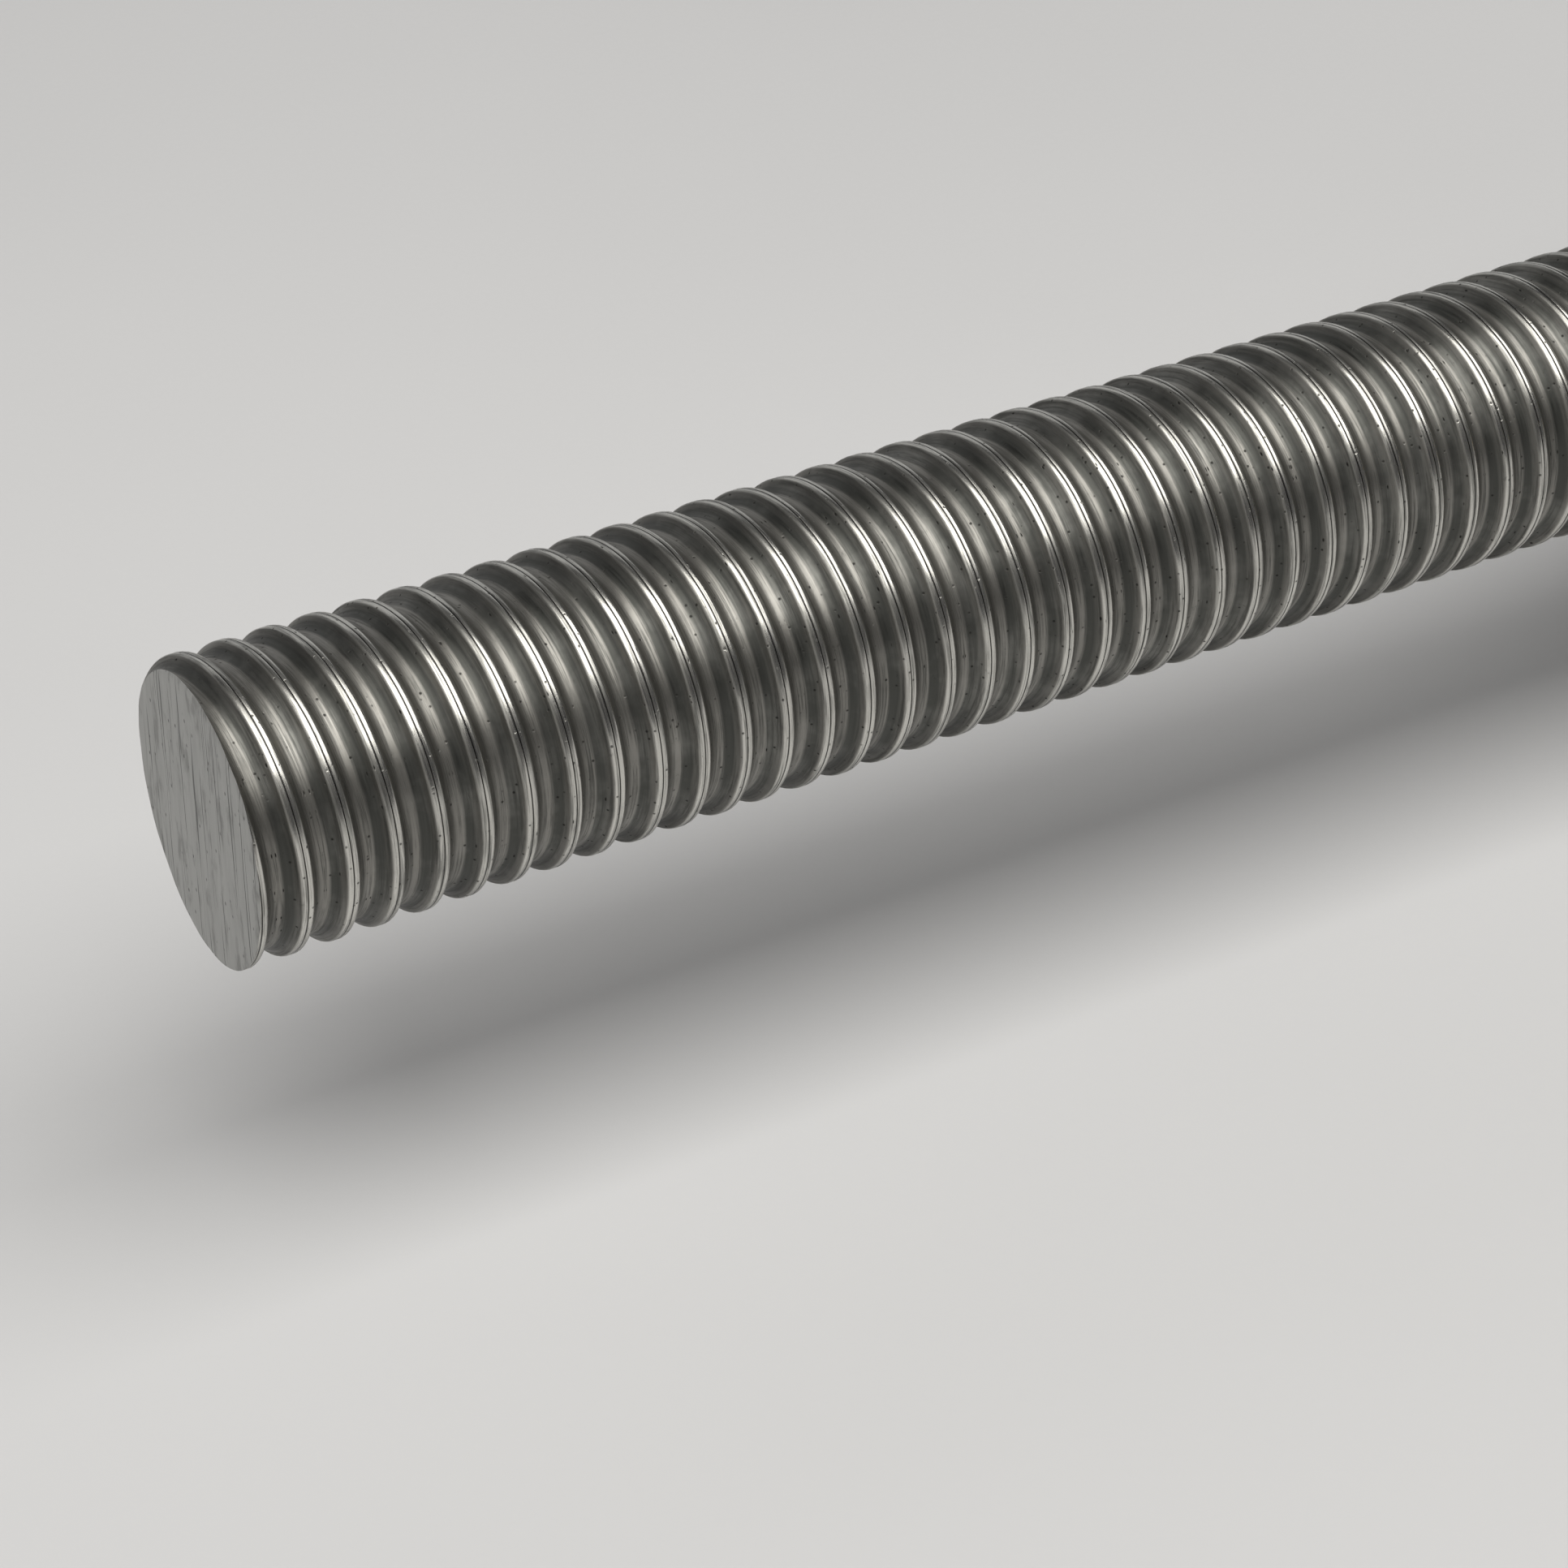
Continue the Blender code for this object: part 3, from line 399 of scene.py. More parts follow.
def helical_bar(profile, lead, start_deg, start_x, turns, sides):
    """A bar whose profile advances one lead in each turn and meets itself. Its two ends are open."""
    columns = len(profile)
    rows = turns * sides + 1
    turn = np.arange(rows) * 2 * math.pi / sides
    angles = math.radians(start_deg) + turn
    offsets = np.array([point[0] for point in profile])
    radii = np.array([point[1] for point in profile])
    verts = np.empty((rows, columns, 3))
    verts[..., 0] = start_x + lead * turn[:, None] / (2 * math.pi) + offsets[None, :]
    verts[..., 1] = radii[None, :] * np.cos(angles)[:, None]
    verts[..., 2] = AXIS_Z + radii[None, :] * np.sin(angles)[:, None]
    index = np.arange(rows * columns).reshape(rows, columns)
    strip = np.stack([index[:-1, :-1], index[1:, :-1], index[1:, 1:], index[:-1, 1:]], -1)
    last = rows - 1 - sides
    ends = [index[:last, -1], index[1 : last + 1, -1], index[sides + 1 :, 0], index[sides:-1, 0]]
    seam = np.stack(ends, -1)
    faces = np.concatenate([strip.reshape(-1, 4), seam.reshape(-1, 4)])
    mesh = bpy.data.meshes.new("bar")
    mesh.from_pydata(verts.reshape(-1, 3) * MM, [], faces)
    patterns = {
        "thread_along": np.repeat(angles * CREST_RADIUS, columns),
        "from_crest": np.tile(np.minimum(offsets, lead - offsets), rows),
        "across_groove": np.tile(offsets - lead / 2, rows),
    }
    for pattern, values in patterns.items():
        attribute = mesh.attributes.new(pattern, "FLOAT", "POINT")
        attribute.data.foreach_set("value", values.astype(np.float32))
    bm = bmesh.new()
    bm.from_mesh(mesh)
    bpy.data.meshes.remove(mesh)
    bmesh.ops.recalc_face_normals(bm, faces=bm.faces)
    return bm


def cut_flat(bm, point, outward):
    """Cuts away what lies beyond a plane and closes the cut. Returns the new faces."""
    whole = bm.verts[:] + bm.edges[:] + bm.faces[:]
    place = Vector(point) * MM
    cut = bmesh.ops.bisect_plane(bm, geom=whole, plane_co=place, plane_no=outward, clear_outer=True)
    rim = [item for item in cut["geom_cut"] if isinstance(item, bmesh.types.BMEdge)]
    return bmesh.ops.holes_fill(bm, edges=rim, sides=0)["faces"]


def trimmed_bar(name, profile, lead, start_x, low, high):
    """A helical bar that starts at start_x and is cut square at low and high."""
    turns = math.ceil((high - start_x) / lead) + 3
    bm = helical_bar(profile, lead, 0.0, start_x, turns, BAR_SIDES)
    cut_flat(bm, (low, 0, AXIS_Z), (-1, 0, 0))
    cut_flat(bm, (high, 0, AXIS_Z), (1, 0, 0))
    return object_from(bm, name)


# ---- screw pieces


def sawn_unevenness(y, z):
    """How far the sawn face stands out from its plane, in millimetres, at a place about the screw's axis."""
    ripple = 0.012 * math.sin(1.9 * y + 0.35 * z) + 0.010 * math.sin(3.7 * y - 0.5 * z + 1.3)
    step = 0.10 / (1 + math.exp((y - 8.5 - 0.12 * z) / 0.12))
    return ripple + step


def detail_sawn_face(bm, face):
    """Refills the sawn face with rings of quads that carry the saw's unevenness and a burr at the rim."""
    outward = Vector((-1, SAWN_SLOPE_Y, SAWN_SLOPE_Z)).normalized()
    middle = Vector((SAWN_FACE_X, 0, AXIS_Z)) * MM
    rim = list(face.verts)
    bm.faces.remove(face)
    rings = [rim]
    for share in SAWN_RINGS:
        ring = []
        for vert in rim:
            place = middle + (vert.co - middle) * share
            height = sawn_unevenness(place.y / MM, place.z / MM - AXIS_Z)
            ring.append(bm.verts.new(place + outward * height * MM * min(1, (1 - share) * 30)))
        rings.append(ring)
    for n, vert in enumerate(rim):
        vert.co += outward * MM * BURR_HEIGHT * (1 + math.sin(n * 0.61) * math.sin(n * 0.23 + 1))
    made = [bm.faces.new(rings[-1])]
    for outer, inner in zip(rings, rings[1:]):
        for n in range(len(rim)):
            nxt = (n + 1) % len(rim)
            made.append(bm.faces.new((outer[n], outer[nxt], inner[nxt], inner[n])))
    fill_slot(made, SAWN_SLOT)


def journal_outline():
    """(x, radius) points from the drive end's centre hole to inside the rolled bar."""
    end = DRIVE_END_X
    points = [(end - 8, 0), (end - 7, 1.6, 0), (end - 4.2, 1.6, 0), (end, 4.0, 0.1)]
    points += [(end, DRIVE_JOURNAL_RADIUS - 1, 0.1), (end - 1, DRIVE_JOURNAL_RADIUS, 0.1)]
    points += [(55.0, DRIVE_JOURNAL_RADIUS, 0.8), (54.4, 11.0, 0.1), (32.6, 11.0, 0.3)]
    points += [(32.6, BEARING_JOURNAL_RADIUS - 0.6, 0.1), (32.0, BEARING_JOURNAL_RADIUS, 0.1)]
    return [*points, (SHOULDER_X - LEAD, BEARING_JOURNAL_RADIUS), (SHOULDER_X - LEAD, 0)]


def screw_shaft():
    """The rolled bar with its sawn face, joined to its turned journals and cut by the keyway."""
    start = CREST_AT_FACE_DEG - 3 * 360
    turns = math.ceil((SHOULDER_X - SAWN_FACE_X) / LEAD) + 5
    bm = helical_bar(thread_profile(), LEAD, start, crest_x(start), turns, SHAFT_SIDES)
    sawn = cut_flat(bm, (SAWN_FACE_X, 0, AXIS_Z), (-1, SAWN_SLOPE_Y, SAWN_SLOPE_Z))
    detail_sawn_face(bm, sawn[0])
    fill_slot(cut_flat(bm, (SHOULDER_X, 0, AXIS_Z), (1, 0, 0)), TURNED_SLOT)
    shaft = object_from(bm, "screw_shaft_rolled")
    journals = turned("journals", journal_outline(), FINE_SIDES, closed=False)
    low, high = LOCK_THREAD_X
    pitch = LOCK_THREAD_PITCH
    profile = vee_profile(pitch, LOCK_THREAD_RADIUS, LOCK_THREAD_DEPTH)
    lock_thread = trimmed_bar("lock_thread", profile, pitch, low - 2.5 * pitch, low, high)
    outline = stadium((KEY_X[1] - KEY_X[0]) / 2 + 0.02, KEY_HALF_WIDTH + 0.02)
    keyway = prism("keyway", outline, KEY_Z[0] - 0.1, 90)
    placed(keyway, (sum(KEY_X) / 2, 0, 0), (0, 0, 1), (1, 0, 0))
    for piece in (shaft, journals, lock_thread, keyway):
        for material in (ROLLED_STEEL, SAWN_STEEL, TURNED_STEEL):
            piece.data.materials.append(material)
        if piece != shaft:
            fill_slot(piece.data.polygons, TURNED_SLOT)
    boolean(shaft, [journals, lock_thread], "UNION")
    boolean(shaft, [keyway])
    return smooth(shaft, 50)


def drive_key():
    key = prism("drive_key_ground", stadium((KEY_X[1] - KEY_X[0]) / 2, KEY_HALF_WIDTH), *KEY_Z)
    placed(key, (sum(KEY_X) / 2, 0, 0), (0, 0, 1), (1, 0, 0))
    return smooth(bevelled(key, 0.3, 2))


def collar(name, node):
    low, high = span(node)
    bore = BEARING_JOURNAL_RADIUS + 0.03
    outline = [(high, COLLAR_RADIUS), (low, COLLAR_RADIUS), (low, bore), (high, bore)]
    return turned(name, outline, soften=0.5)


def lock_nut():
    """A round nut with four spanner slots and two set screws, over the shaft's fine thread."""
    low, high = span("lock_nut")
    radius = LOCK_NUT_RADIUS
    bore = LOCK_THREAD_RADIUS + 0.05
    outline = [(high, radius - 1.6, 0.3), (high - 1.0, radius, 0.3), (low + 1.0, radius, 0.3)]
    outline += [(low, radius - 1.6, 0.3), (low, bore + 0.9, 0.1), (low + 0.9, bore, 0.1)]
    outline += [(high - 0.9, bore, 0.1), (high, bore + 0.9, 0.1)]
    nut = turned("lock_nut_blackened", outline, FINE_SIDES)
    cutters = []
    corners = [(-2.5, 18.8), (2.5, 18.8), (2.5, 23), (-2.5, 23)]
    for n in range(LOCK_NUT_SLOTS):
        slot = prism("slot", corners, low - 1, high + 1, 0.35)
        direction = spin_direction(360 / LOCK_NUT_SLOTS * n)
        cutters.append(placed(slot, (0, 0, AXIS_Z), (1, 0, 0), direction))
    for angle in LOCK_SCREW_ANGLES:
        cutters.append(radial(hole_cutter(2.9, 10, 21, 0.5), angle, (low + high) / 2))
    return smooth(boolean(nut, cutters))


def set_screw(name, radius, low, high, angle, x, socket=1.5):
    """A socket set screw that lies along a radius of the screw, with its socket outwards."""
    outline = [(high, 0), (high, radius - 0.4), (high - 0.4, radius)]
    outline += [(low + 0.6, radius), (low, radius - 0.6), (low, 0)]
    screw = spun(name, outline, 40)
    hexagon = prism("socket", polygon(socket, 6), high - 2.2, high + 1)
    boolean(screw, [hexagon])
    return smooth(radial(screw, angle, x))


def lock_nut_pad(name, angle, x):
    pad = spun(name, [(14.9, 0), (14.9, 2.6), (12.75, 2.6), (12.75, 0)], 40, 0.3)
    return smooth(radial(pad, angle, x))


# ---- bearings


def race_arc(middle, side, inward):
    """(x, radius) points across a raceway, from its shoulder, which is on that side, to its relieved edge."""
    sign = -1 if inward else 1
    points = []
    for step in range(13):
        lean = -SHOULDER_LEAN + (SHOULDER_LEAN + RELIEVED_LEAN) * step / 12
        x = middle - side * RACE_RADIUS * math.sin(lean)
        points.append((x, BEARING_PITCH_RADIUS + sign * RACE_RADIUS * math.cos(lean), 0))
    return points


def bearing_ring(name, node, side, inner):
    """A ring of an angular contact bearing. Its high shoulder is on that side, +1 being the drive end's."""
    low, high = span(node)
    middle = (low + high) / 2
    near, far = (high, low) if side > 0 else (low, high)
    arc = race_arc(middle, side, inner)
    shoulder, relieved = arc[0][1], arc[-1][1]
    land = BEARING_JOURNAL_RADIUS + 0.02 if inner else SEAT_RADIUS - 0.03
    outline = [(near, shoulder, 0.3), *arc, (far, relieved, 0.3), (far, land, 0.8), (near, land, 0.8)]
    return turned(name, outline, FINE_SIDES)


def ball_cluster(name, centres, radius, detail):
    bm = bmesh.new()
    for centre in centres:
        made = bmesh.ops.create_icosphere(bm, subdivisions=detail, radius=radius * MM)
        bmesh.ops.translate(bm, verts=made["verts"], vec=Vector(centre) * MM)
    return smooth(object_from(bm, name), 60)


def bearing_balls(name, node):
    middle = sum(span(node)) / 2
    step = 2 * math.pi / BEARING_BALLS
    centres = [on_screw(middle, BEARING_PITCH_RADIUS, step * (n + 0.5)) / MM for n in range(BEARING_BALLS)]
    return ball_cluster(name, centres, BEARING_BALL_RADIUS, 3)


def bearing_cage(name, node):
    """A moulded cage with a round pocket for each ball."""
    middle = sum(span(node)) / 2
    low, high = middle - CAGE_HALF_LENGTH, middle + CAGE_HALF_LENGTH
    cage = turned(name, [(high, 20.5), (low, 20.5), (low, 18.1), (high, 18.1)], 120, 0.4)
    pockets = []
    for n in range(BEARING_BALLS):
        outline = [(30, 0), (30, POCKET_RADIUS), (10, POCKET_RADIUS), (10, 0)]
        pocket = spun("pocket", outline, 32)
        pockets.append(radial(pocket, 360 / BEARING_BALLS * (n + 0.5), middle))
    return smooth(boolean(cage, pockets))


# ---- support block


def housing_outline():
    """The block's section, with a fillet where its upper part meets each shoulder."""
    wide, narrow = BLOCK_HALF_WIDTH, UPPER_HALF_WIDTH
    points = [(-wide, 0), (wide, 0), (wide, SHOULDER_Z), (narrow, SHOULDER_Z, 2.5), (narrow, BLOCK_TOP)]
    points += [(-narrow, BLOCK_TOP), (-narrow, SHOULDER_Z, 2.5), (-wide, SHOULDER_Z)]
    return rounded(points, 0, 6, True)


def support_housing():
    low, high = BLOCK_X
    block = prism("support_housing_blackened", housing_outline(), low, high)
    placed(block, (0, 0, 0), (1, 0, 0), (0, 1, 0))
    bevelled(block, 1.0, 3, 40)
    seat_floor = span("bearing_a_outer_ring")[0] - 0.02
    lip_wall = span("seal_inner")[1] + 1.0
    outline = [(high + 1, 0), (high + 1, SEAT_RADIUS + 2), (high - 1, SEAT_RADIUS), (seat_floor, SEAT_RADIUS)]
    outline += [(seat_floor, LIP_ROOM_RADIUS), (lip_wall, LIP_ROOM_RADIUS), (lip_wall, SEAL_RADIUS)]
    outline += [(low + 0.6, SEAL_RADIUS), (low - 1, SEAL_RADIUS + 1.6), (low - 1, 0)]
    seat = turned("seat", outline, FINE_SIDES, 0.0, closed=False)
    cutters = [seat]
    for x, y in FOOT_HOLE_PLACES:
        through = hole_cutter(5.5, 0, 25, 0.5, True)
        counterbore = hole_cutter(8.75, SHOULDER_Z - 11, SHOULDER_Z, 0.5)
        for cutter in (through, counterbore):
            cutters.append(placed(cutter, (x, y, 0), (0, 0, 1), (1, 0, 0)))
    for y, z in COVER_SCREW_PLACES:
        cutters.append(axial(hole_cutter(2.5, high - 16, high, 0.4), y, z))
    return smooth(boolean(block, cutters))


def bearing_cover():
    low, high = COVER_X
    half = COVER_HALF_WIDTH
    square = [(-half, -half), (half, -half), (half, half), (-half, half)]
    cover = prism("bearing_cover_blackened", rounded(square, 6.0, 10, True), low, high)
    axial(cover, 0, 0)
    bevelled(cover, 0.6, 2, 40)
    spigot_low = span("bearing_b_outer_ring")[1] + 0.02
    spigot = [(low + 1, SPIGOT_RADIUS), (spigot_low, SPIGOT_RADIUS), (spigot_low, 21.6), (low + 1, 21.6)]
    boolean(cover, [turned("spigot", spigot, FINE_SIDES, 0.2)], "UNION")
    floor = high - SEAL_DEPTH
    bore = [(high + 1, 0), (high + 1, SEAL_RADIUS + 1.6), (high - 0.6, SEAL_RADIUS), (floor, SEAL_RADIUS)]
    bore += [(floor, 18.5), (spigot_low - 1, 18.5), (spigot_low - 1, 0)]
    cutters = [turned("bore", bore, FINE_SIDES, 0.0, closed=False)]
    for y, z in COVER_SCREW_PLACES:
        cutters.append(axial(hole_cutter(2.75, low, high - 4, 0.3, True), y, z))
        cutters.append(axial(hole_cutter(4.7, high - 5.5, high, 0.35), y, z))
    return smooth(boolean(cover, cutters))


def knurled_head(bm, radius, height):
    """A cap screw's head, with fine flutes round its side. The head stands on z = 0."""
    flutes = 36
    points = [(height, radius - 0.55), (height - 0.12, radius - 0.25), (height - 0.5, radius)]
    points += [(0.6, radius), (0.1, radius - 0.2), (0, radius - 0.5)]

    def put(along, reach, angle):
        ridge = 0.12 * abs(math.sin(flutes * angle / 2)) if reach >= radius else 0
        return on_own_axis(along, max(0, reach - ridge), angle)

    revolve(bm, [(height, 0), *points, (0, 0)], flutes * 6, False, put)


def cap_screw(name, y, z):
    """A socket head cap screw that holds the cover, along the screw's axis."""
    seat = COVER_X[1] - 5.4
    bm = bmesh.new()
    knurled_head(bm, 4.25, 5.0)
    screw = object_from(bm, name)
    shank = spun("shank", [(1, 0), (1, 2.45), (-14, 2.45), (-14.8, 1.7), (-14.8, 0)], 40)
    boolean(screw, [shank], "UNION")
    socket = prism("socket", polygon(2.31, 6), 2.4, 6)
    countersink = spun("countersink", [(6, 0), (6, 3.7), (4.8, 2.3), (4.8, 0)], 40)
    boolean(screw, [socket, countersink])
    axial(screw, y, z, seat)
    return smooth(screw, 25)


def shaft_seal(name, node, outwards):
    """A lip seal: a stepped rubber case and a lip that runs on the collar. outwards is -1 or +1 along X."""
    low, high = span(node)
    face, back = (high, low) if outwards > 0 else (low, high)
    inside = LIP_ROOM_RADIUS
    outline = [(face, SEAL_RADIUS - 0.03, 0.5), (back, SEAL_RADIUS - 0.03, 0.4), (back, inside, 0.2)]
    steps = [(2.0, inside, 0.3), (2.0, 17.4, 0.3), (4.4, 17.2, 0.4), (4.4, 16.4, 0.2), (3.0, 16.05, 0.1)]
    steps += [(1.2, 16.35, 0.3), (0.5, 16.7, 0.3), (0.5, 17.9, 0.3), (0.0, 18.3, 0.3)]
    outline += [(face - outwards * depth, radius, soften) for depth, radius, soften in steps]
    return turned(name, outline, FINE_SIDES)


# ---- ball nut


def nut_body():
    low, high = NUT_X
    rim, neck = FLANGE_RADIUS, NUT_RADIUS - 0.25
    outline = [(high, rim - 1, 0.1), (high - 1, rim, 0.1), (FLANGE_X + 1, rim, 0.1), (FLANGE_X, rim - 1, 0.1)]
    outline += [(FLANGE_X, neck, 0.5), (FLANGE_X - 1.6, neck, 0.2), (FLANGE_X - 2.0, NUT_RADIUS, 0.2)]
    outline += [(low + 1.2, NUT_RADIUS, 0.2), (low, NUT_RADIUS - 1.2, 0.2), (low, 20.6, 0.1)]
    outline += [(low + 0.6, 20.0, 0.1), (low + 5, 20.0, 0.1), (low + 5, 16.0, 0), (high - 5, 16.0, 0)]
    outline += [(high - 5, 20.0, 0.1), (high - 0.6, 20.0, 0.1), (high, 20.6, 0.1)]
    nut = turned("nut_body_ground", outline, 160)
    cutters = []
    for side in (-1, 1):
        corners = [(side * FLANGE_FLAT, -50), (side * 60, -50), (side * 60, 50), (side * FLANGE_FLAT, 50)]
        cutters.append(axial(prism("flat", corners, FLANGE_X - 3, high + 1), 0, 0))
    boolean(nut, cutters)
    cutters = []
    for angle in FLANGE_HOLE_ANGLES:
        turn = math.radians(angle)
        y, z = FLANGE_HOLE_CIRCLE * math.cos(turn), FLANGE_HOLE_CIRCLE * math.sin(turn)
        cutters.append(axial(hole_cutter(FLANGE_HOLE_RADIUS, FLANGE_X, high, 0.4, True), y, z))
    oil_hole = hole_cutter(3.0, 12, FLANGE_FLAT, 0.5)
    cutters.append(radial(oil_hole, OIL_HOLE_ANGLE, (FLANGE_X + high) / 2))
    for n in range(CIRCUITS):
        angle, x = deflector_place(n)
        window = prism("window", stadium(6.95, 5.1), 12, NUT_RADIUS + 2)
        flare = prism("flare", stadium(7.15, 5.3), NUT_RADIUS - 0.35, NUT_RADIUS + 2)
        cutters += [radial(window, angle, x), radial(flare, angle, x)]
    for side, rim in (("front", NUT_RADIUS), ("rear", FLANGE_FLAT + 3)):
        x = sum(span(f"wiper_{side}")) / 2
        cutters.append(radial(hole_cutter(1.5, 17, rim, 0.2), WIPER_SCREW_ANGLE, x))
    boolean(nut, cutters)
    core = trimmed_bar("core", nut_core_profile(), LEAD, nut_core_start(low), low + 1, high - 1)
    boolean(nut, [core])
    return smooth(nut)


def nut_core_start(low):
    """Where the first crest of the screw lies at angle 0, at least two leads before the nut."""
    return crest_x(360 * math.floor((low - 2 * LEAD - crest_x(0)) / LEAD))


def deflector_place(n):
    """(angle, x) of the middle of circuit n's deflector, which lies over a crest."""
    first_turn = round((FIRST_DEFLECTOR_X - crest_x(FIRST_DEFLECTOR_ANGLE)) / LEAD)
    angle = FIRST_DEFLECTOR_ANGLE + 360 * first_turn + n * DEFLECTOR_STEP_DEG
    return angle, crest_x(angle)


def circuit_point(n, share):
    """A ball's place at a share of 0 to 1 round circuit n: along the groove, then back over the crest."""
    angle, middle = deflector_place(n)
    reach = 360 - 2 * CROSSING_HALF_DEG
    turn = 360 * share
    radius = BALL_CIRCLE_RADIUS
    if turn <= reach:
        x = middle + LEAD * (turn / 360 - reach / 720)
    else:
        across = (turn - reach) / (360 - reach)
        eased = across * across * (3 - 2 * across)
        x = middle + LEAD * reach / 720 * (1 - 2 * eased)
        radius += CROSSING_LIFT * math.sin(math.pi * across)
    return on_screw(x, radius, math.radians(angle + CROSSING_HALF_DEG + turn)) / MM


def ball_circuit(name, n):
    """The balls of one circuit, spaced evenly along its path."""
    steps = np.arange(CIRCUIT_SAMPLES + 1) / CIRCUIT_SAMPLES
    samples = [circuit_point(n, share) for share in steps]
    lengths = np.cumsum([0.0] + [(b - a).length for a, b in zip(samples, samples[1:])])
    count = int(lengths[-1] // BALL_SPACING)
    shares = np.interp(np.arange(count) * lengths[-1] / count, lengths, steps)
    return ball_cluster(name, [circuit_point(n, share) for share in shares], BALL_RADIUS, 2)


def ball_deflector(name, n):
    """The return plug in the nut's window, with a moulded rim and a channel over the crest."""
    angle, x = deflector_place(n)
    plug = radial(prism(name, stadium(6.8, 4.95), 14, 30), angle, x)
    boolean(plug, [wide_cylinder(24.6, x - 12, x + 12)], "INTERSECT")
    bevelled(plug, 0.3, 2, 50)
    recess = radial(prism("recess", stadium(5.0, 3.2), 24.15, 30), angle, x)
    boss = radial(spun("boss", [(24.5, 0), (24.5, 1.4), (23, 1.4), (23, 0)], 32, 0.1), angle, x)
    boolean(plug, [recess, wide_cylinder(NUT_LAND_RADIUS + 0.15, x - 12, x + 12)])
    boolean(plug, [boss], "UNION")
    return smooth(plug)


def wiper(name, node, outwards):
    """A moulded wiper ring with three lips that brush the thread."""
    low, high = span(node)
    face, back = (high, low) if outwards > 0 else (low, high)
    outline = [(face, 19.75, 0.4), (back, 19.75, 0.3), (back, 16.7, 0.2)]
    lips = [(3.2, 16.25), (2.6, 16.9), (1.9, 16.25), (1.3, 16.9), (0.6, 16.25)]
    outline += [(face - outwards * depth, radius, 0.1) for depth, radius in lips]
    ring = turned(name, [*outline, (face, 17.2, 0.3)], FINE_SIDES)
    hole = radial(hole_cutter(1.3, 18, 22, 0.1), WIPER_SCREW_ANGLE, (low + high) / 2)
    return smooth(boolean(ring, [hole]))


def grease_nipple():
    """A straight grease nipple: stem, chamfered hexagon, waist and ball head with its inlet."""
    flat = FLANGE_FLAT
    x = (FLANGE_X + NUT_X[1]) / 2
    points = [(10.3, 0), (10.3, 0.8), (11.4, 1.1), (11.4, 1.6), (10.9, 2.5), (10.0, 3.1), (9.0, 3.2)]
    points += [(8.2, 2.7), (7.4, 2.1), (5.4, 2.1), (4.4, 3.3), (0.1, 3.3), (0, 2.9), (-6, 2.9), (-6, 0)]
    nipple = spun("grease_nipple_turned", [(flat + out, radius) for out, radius in points], 64, 0.12)
    hexagon = prism("hexagon", polygon(4.05, 6), flat + 0.1, flat + 4.4)
    points = [(4.4, 0), (4.4, 3.5), (3.9, 4.1), (0.6, 4.1), (0.1, 3.5), (0.1, 0)]
    bounds = spun("bounds", [(flat + out, radius) for out, radius in points], 64)
    boolean(hexagon, [bounds], "INTERSECT")
    boolean(nipple, [hexagon], "UNION")
    return smooth(radial(nipple, OIL_HOLE_ANGLE, x))


# ---- materials


